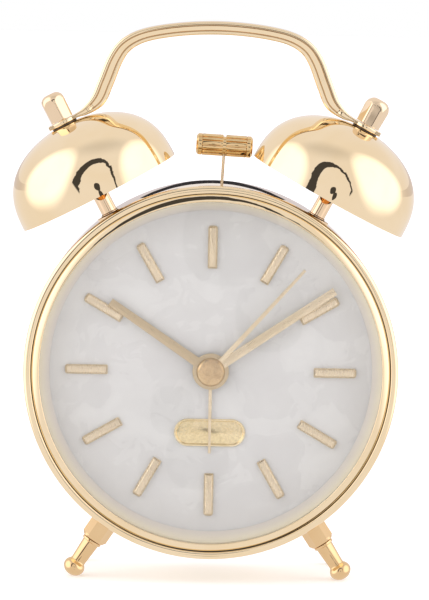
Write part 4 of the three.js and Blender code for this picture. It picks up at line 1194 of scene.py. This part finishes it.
flutes = [
    set_round("flutes", rib(box_outline(0.98, 0.85, 0, 2.72), low, high, 0.14), FLUTES, 0.0,
              HEAD_GOLD)
    for low, high in ((-half + 1.8, -0.4), (0.4, half - 1.8))
]
head = merged("hammer_striker", core, *flutes)
head.transform(Matrix.Rotation(math.pi / 2, 4, "Z"))
head.transform(Matrix.Translation((0, STRIKER_DEPTH, HEAD_REACH)))
eased(head)
to_clock(head, REST_TILT, (0, 0, PIVOT_HEIGHT))
piece("hammer_striker", head, HEAD_GOLD, "hammer", "deep_gold", "hammer_head")


# ---- Feet -----------------------------------------------------------------------------------
# Splayed turned legs that run through the drum's wall and end in small balls, each with a tall
# hexagon collar against the drum.

FOOT_DEPTH = 15.0
FOOT_ANGLE = 33.5
BALL_REACH = 71.2
BALL_ACROSS, BALL_ALONG = 3.2, 2.7
COLLAR_END = 61.6
COLLAR_FLATS = 6.8
FOOT_GOLD = plated("foot_gold", (0.85, 0.615, 0.335), (0.81, 0.565, 0.29), (0.03, 0.08))
collar_section = filleted([
    (0, 53.5, 0), (3.95, 53.5, 0.2), (3.95, COLLAR_END - 1.1, 0.35),
    (3.25, COLLAR_END - 0.2, 0.25), (0, COLLAR_END - 0.2, 0),
])
ball = [(BALL_ACROSS * math.cos(math.radians(a)),
         BALL_REACH + BALL_ALONG * math.sin(math.radians(a))) for a in range(-44, 89, 6)]
leg_section = filleted([
    (0, 49, 0), (1.25, 49, 0.1), (1.25, COLLAR_END - 0.05, 0.05), (3.0, COLLAR_END, 0.15),
    (3.0, COLLAR_END + 0.6, 0.2), (2.6, COLLAR_END + 1.0, 0.2),
]) + [(2.2, BALL_REACH - 2.3), *ball, (0, BALL_REACH + BALL_ALONG)]
for side, label in SIDES:
    angle = math.radians(FOOT_ANGLE)
    outward = Vector((side * math.sin(angle), 0, -math.cos(angle)))
    hub = at(0, FOOT_DEPTH, 0)
    collar = spun(f"foot_lock_{label}", collar_section, 120, hub, outward, 25, COLLAR_FLATS)
    piece(f"foot_lock_{label}", collar, FOOT_GOLD, "case", "polished_gold",
          f"foot_collar_{label}")
    leg = spun(f"foot_turned_{label}", leg_section, 72, hub, outward)
    for vertex in leg.vertices:
        vertex.co.z = max(vertex.co.z, 0.0)
    piece(f"foot_turned_{label}", leg, FOOT_GOLD, "case", "polished_gold",
          f"foot_leg_{label}")


# ---- Rear cover -----------------------------------------------------------------------------
# Injection-moulded cream plastic with a fine spark-eroded grain, pushed into the drum from
# behind. Its battery tray, motor cradle and the two rear feet are moulded in one with it.


def moulded(name, light, dark, rough=(0.36, 0.52), grain=1500.0, relief=1.2e-5):
    """Moulded plastic: slight mottling of the colour, flow marks and a fine grain."""
    made, tree, shader = material(name, 0.45, 0.0)
    place = place_on(tree)
    mottle = noise(tree, place, 70.0, 4.0, distortion=0.8)
    pits = noise(tree, place, grain, 2.0)
    tone = calc(tree, "ADD", calc(tree, "MULTIPLY", mottle.outputs[0], 0.7),
                calc(tree, "MULTIPLY", pits.outputs[0], 0.3))
    painted(tree, shader, blended(tree, fade(tree, tone, 0.3, 0.7), light, dark),
            fade(tree, mottle.outputs[0], 0.3, 0.7, *rough))
    bumped(tree, shader, pits.outputs[0], relief)
    return made


def dress(made, *names):
    """Gives CAD nodes that keep their own shape a finish."""
    for name in names:
        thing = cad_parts[name]
        if not thing.material_slots:
            thing.data.materials.append(made)
        for place in thing.material_slots:
            place.material = made


CREAM = moulded("cream_plastic", (0.80, 0.715, 0.575), (0.76, 0.67, 0.53))
dress(CREAM, "rear_cover")
COVER_BACK = 45.8
ridge_section = filleted([
    (46.9, COVER_BACK - 0.1, 0.02), (48.3, COVER_BACK - 0.1, 0.02), (48.1, COVER_BACK + 0.6, 0.2),
    (47.1, COVER_BACK + 0.6, 0.2),
])
ridge = spun("cover_ridge", ridge_section, 192, at(0, 0, 0), BACKWARDS)
piece("cover_ridge", ridge, CREAM, "case", "cream_plastic")


# ---- Battery door ---------------------------------------------------------------------------
# A thin moulded lid that lifts out of the cover, with a row of finger ribs and an arrow.

DOOR_HEIGHT = -28.0
door_plate = slab("door_plate", filleted([
    (-29, -9.2, 1.2), (29, -9.2, 1.2), (29, 9.2, 1.2), (-29, 9.2, 1.2)]),
    COVER_BACK, COVER_BACK - 1.35, 0.2)
door_ribs = [rib(box_outline(12, 0.7, 0, -6.6 + 1.5 * row), COVER_BACK - 0.1, COVER_BACK + 0.5, 0.2)
             for row in range(5)]
arrow = [(-0.6, 1.6), (0.6, 1.6), (0.6, 4.2), (2.0, 4.2), (0, 6.8), (-2.0, 4.2), (-0.6, 4.2)]
door_arrow = slab("door_arrow", arrow, COVER_BACK + 0.3, COVER_BACK - 0.1, 0.08)
door = merged("battery_lid", door_plate, door_arrow, *door_ribs)
to_clock(door, place=(0, 0, DOOR_HEIGHT))
eased(door)
piece("battery_lid", door, CREAM, "door", "cream_plastic", "battery_door")


# ---- Setting knobs --------------------------------------------------------------------------
# Two moulded knobs pushed on the setting shafts, ribbed round the edge for the fingers, with a
# raised turn mark in a sunk face.

KNOB_OFFSET = 12.0
KNOB_BACK = 53.5
KNOB_RIBS = 30
knob_section = filleted([
    (0, 44.0, 0), (2.6, 44.0, 0.1), (2.6, 46.4, 0.2), (5.5, 46.4, 0.3), (6.1, 47.1, 0.2),
    (6.1, 52.3, 0.2), (5.4, KNOB_BACK, 0.5), (4.6, KNOB_BACK, 0.2), (4.4, KNOB_BACK - 0.6, 0.1),
    (0, KNOB_BACK - 0.6, 0),
])
turn_mark = [(-0.5, -3.0), (0.5, -3.0), (0.5, 0.8), (1.7, 0.8), (0, 3.2), (-1.7, 0.8), (-0.5, 0.8)]
for side, name, cad, body in ((-1, "time_knob", "time_set_knob", "time_setting"),
                              (1, "alarm_knob", "alarm_set_knob", "alarm_setting")):
    barrel = turned("barrel", knob_section, 96)
    ribs = set_round("knob_ribs", rib(box_outline(0.62, 0.7, 0, 6.02), 47.5, 52.2, 0.16),
                     KNOB_RIBS, 0.0, CREAM)
    mark = slab("mark", turn_mark, KNOB_BACK - 0.2, KNOB_BACK - 0.7, 0.08)
    knob = merged(name, barrel, ribs, mark)
    to_clock(knob, place=(side * KNOB_OFFSET, 0, 0))
    eased(knob)
    piece(name, knob, CREAM, body, "cream_plastic", cad)


# ---- Alarm switch ---------------------------------------------------------------------------
# A slider that runs in a slot of the cover, with a ribbed finger pad.

switch_place = (-2.0, 0, 22.0)
pad_outline = filleted([(-2.1, -1.8, 0.4), (2.1, -1.8, 0.4), (2.1, 1.8, 0.4), (-2.1, 1.8, 0.4)])
switch_parts = [
    slab("runner", box_outline(7, 5.6), 43.9, 42.9, 0.15),
    slab("neck", box_outline(3.0, 2.6), 46.3, 43.5, 0),
    slab("finger_pad", pad_outline, 47.7, 46.1, 0.25),
]
switch_parts += [rib(box_outline(0.5, 2.8, -1.2 + 0.8 * k), 47.6, 48.1, 0.15) for k in range(4)]
switch = merged("alarm_slider", *switch_parts)
to_clock(switch, place=switch_place)
eased(switch)
SLIDER_CREAM = moulded("slider_plastic", (0.72, 0.62, 0.48), (0.68, 0.58, 0.44), (0.3, 0.42))
piece("alarm_slider", switch, SLIDER_CREAM, "switch", "cream_plastic", "alarm_switch")


# ---- Cover screws ---------------------------------------------------------------------------
# Three zinc-plated pan-head screws with a cross recess.


def carved(name, mesh, cutter):
    """A mesh less another."""
    host = added(name, mesh)
    tool = added(name + "_tool", cutter)
    cut = host.modifiers.new("cut", "BOOLEAN")
    cut.operation = "DIFFERENCE"
    cut.object = tool
    shown = host.evaluated_get(bpy.context.evaluated_depsgraph_get())
    result = bpy.data.meshes.new_from_object(shown)
    for thing in (host, tool):
        bpy.data.objects.remove(thing)
    return result


SCREW_CIRCLE = 43.5
ZINC = satin("zinc_steel", (0.66, 0.65, 0.63), (0.54, 0.54, 0.53), (0.2, 0.38), 0.6)
screw_section = filleted([
    (0, 37.0, 0), (1.2, 37.0, 0.2), (1.2, COVER_BACK + 0.1, 0.05), (2.6, COVER_BACK + 0.1, 0.1),
    (2.5, COVER_BACK + 0.9, 0.5), (1.5, COVER_BACK + 1.55, 0.6), (0, COVER_BACK + 1.6, 0),
])
screw_body = turned("screw_body", screw_section, 64)
cross = [(-0.32, -1.5), (0.32, -1.5), (0.32, -0.32), (1.5, -0.32), (1.5, 0.32), (0.32, 0.32),
         (0.32, 1.5), (-0.32, 1.5), (-0.32, 0.32), (-1.5, 0.32), (-1.5, -0.32), (-0.32, -0.32)]
recess = slab("recess", cross, COVER_BACK + 2.0, COVER_BACK + 0.8, 0)
screw = carved("screw", screw_body, recess)
screws = set_round("cover_screws", screw, 3, SCREW_CIRCLE, ZINC, math.radians(60))
to_clock(screws)
eased(screws)
piece("cover_screws", screws, ZINC, "case", "steel", *[f"rear_screw_{i}" for i in (1, 2, 3)])


# ---- Movement -------------------------------------------------------------------------------
# The works inside the drum: a white moulded case, brass-coloured wheels, a coil wound with
# enamelled wire on a laminated stator, a small circuit board, the striker motor and the cell.

WHITE = moulded("white_plastic", (0.84, 0.84, 0.81), (0.78, 0.78, 0.75), (0.3, 0.44), 1100.0)
dress(WHITE, "movement_front_case", "movement_rear_case")
STEEL = satin("works_steel", (0.60, 0.60, 0.60), (0.48, 0.49, 0.50), (0.25, 0.42))
dress(STEEL, "striker_motor", "stator", "rotor", "battery_spring")
BRASS = satin("wheel_brass", (0.80, 0.62, 0.30), (0.70, 0.52, 0.24), (0.2, 0.36))
dress(BRASS, "alarm_wheel", "hour_wheel", "minute_wheel", "second_wheel", "intermediate_wheel",
      "motion_wheel", "alarm_setting_wheel", "motor_crank")


def make_winding():
    """Enamelled wire wound side by side: fine ridges across the coil."""
    made, tree, shader = material("coil_copper", 0.28, 1.0)
    place = place_on(tree)
    turns = node(tree, "ShaderNodeTexWave", {"bands_direction": "X"}, vector=place,
                 scale=900.0, distortion=0.6, detail=2.0)
    colour = blended(tree, turns.outputs["Fac"], (0.42, 0.16, 0.07), (0.80, 0.38, 0.19))
    painted(tree, shader, colour)
    bumped(tree, shader, turns.outputs["Fac"], 5e-5)
    return made


def make_board():
    """Green solder mask over faint copper tracks."""
    made, tree, shader = material("board_green", 0.3, 0.0)
    place = place_on(tree)
    tracks = node(tree, "ShaderNodeTexBrick", vector=place, scale=220.0)
    speckle = noise(tree, place, 600.0, 3.0)
    colour = blended(tree, tracks.outputs["Fac"], (0.03, 0.16, 0.07), (0.06, 0.26, 0.11))
    colour = blended(tree, fade(tree, speckle.outputs[0], 0.5, 0.8, 0.0, 0.3), colour,
                     (0.10, 0.30, 0.14))
    painted(tree, shader, colour)
    bumped(tree, shader, tracks.outputs["Fac"], 2e-5)
    return made


def make_cell():
    """A plain printed film round a steel can, with bare steel at the positive end."""
    made, tree, shader = material("cell_film", 0.3, 0.4)
    place = place_on(tree)
    along = node(tree, "ShaderNodeSeparateXYZ", in0=place).outputs[0]
    end = fade(tree, along, 17.0 * MM, 17.2 * MM)
    scuffs = noise(tree, place, 260.0, 4.0)
    film = blended(tree, scuffs.outputs[0], (0.10, 0.11, 0.12), (0.16, 0.17, 0.18))
    painted(tree, shader, blended(tree, end, film, (0.62, 0.48, 0.25)),
            fade(tree, scuffs.outputs[0], 0.3, 0.8, 0.22, 0.45))
    bumped(tree, shader, scuffs.outputs[0], 1e-5)
    return made


dress(make_winding(), "drive_coil")
dress(make_board(), "circuit_board")
dress(make_cell(), "battery")
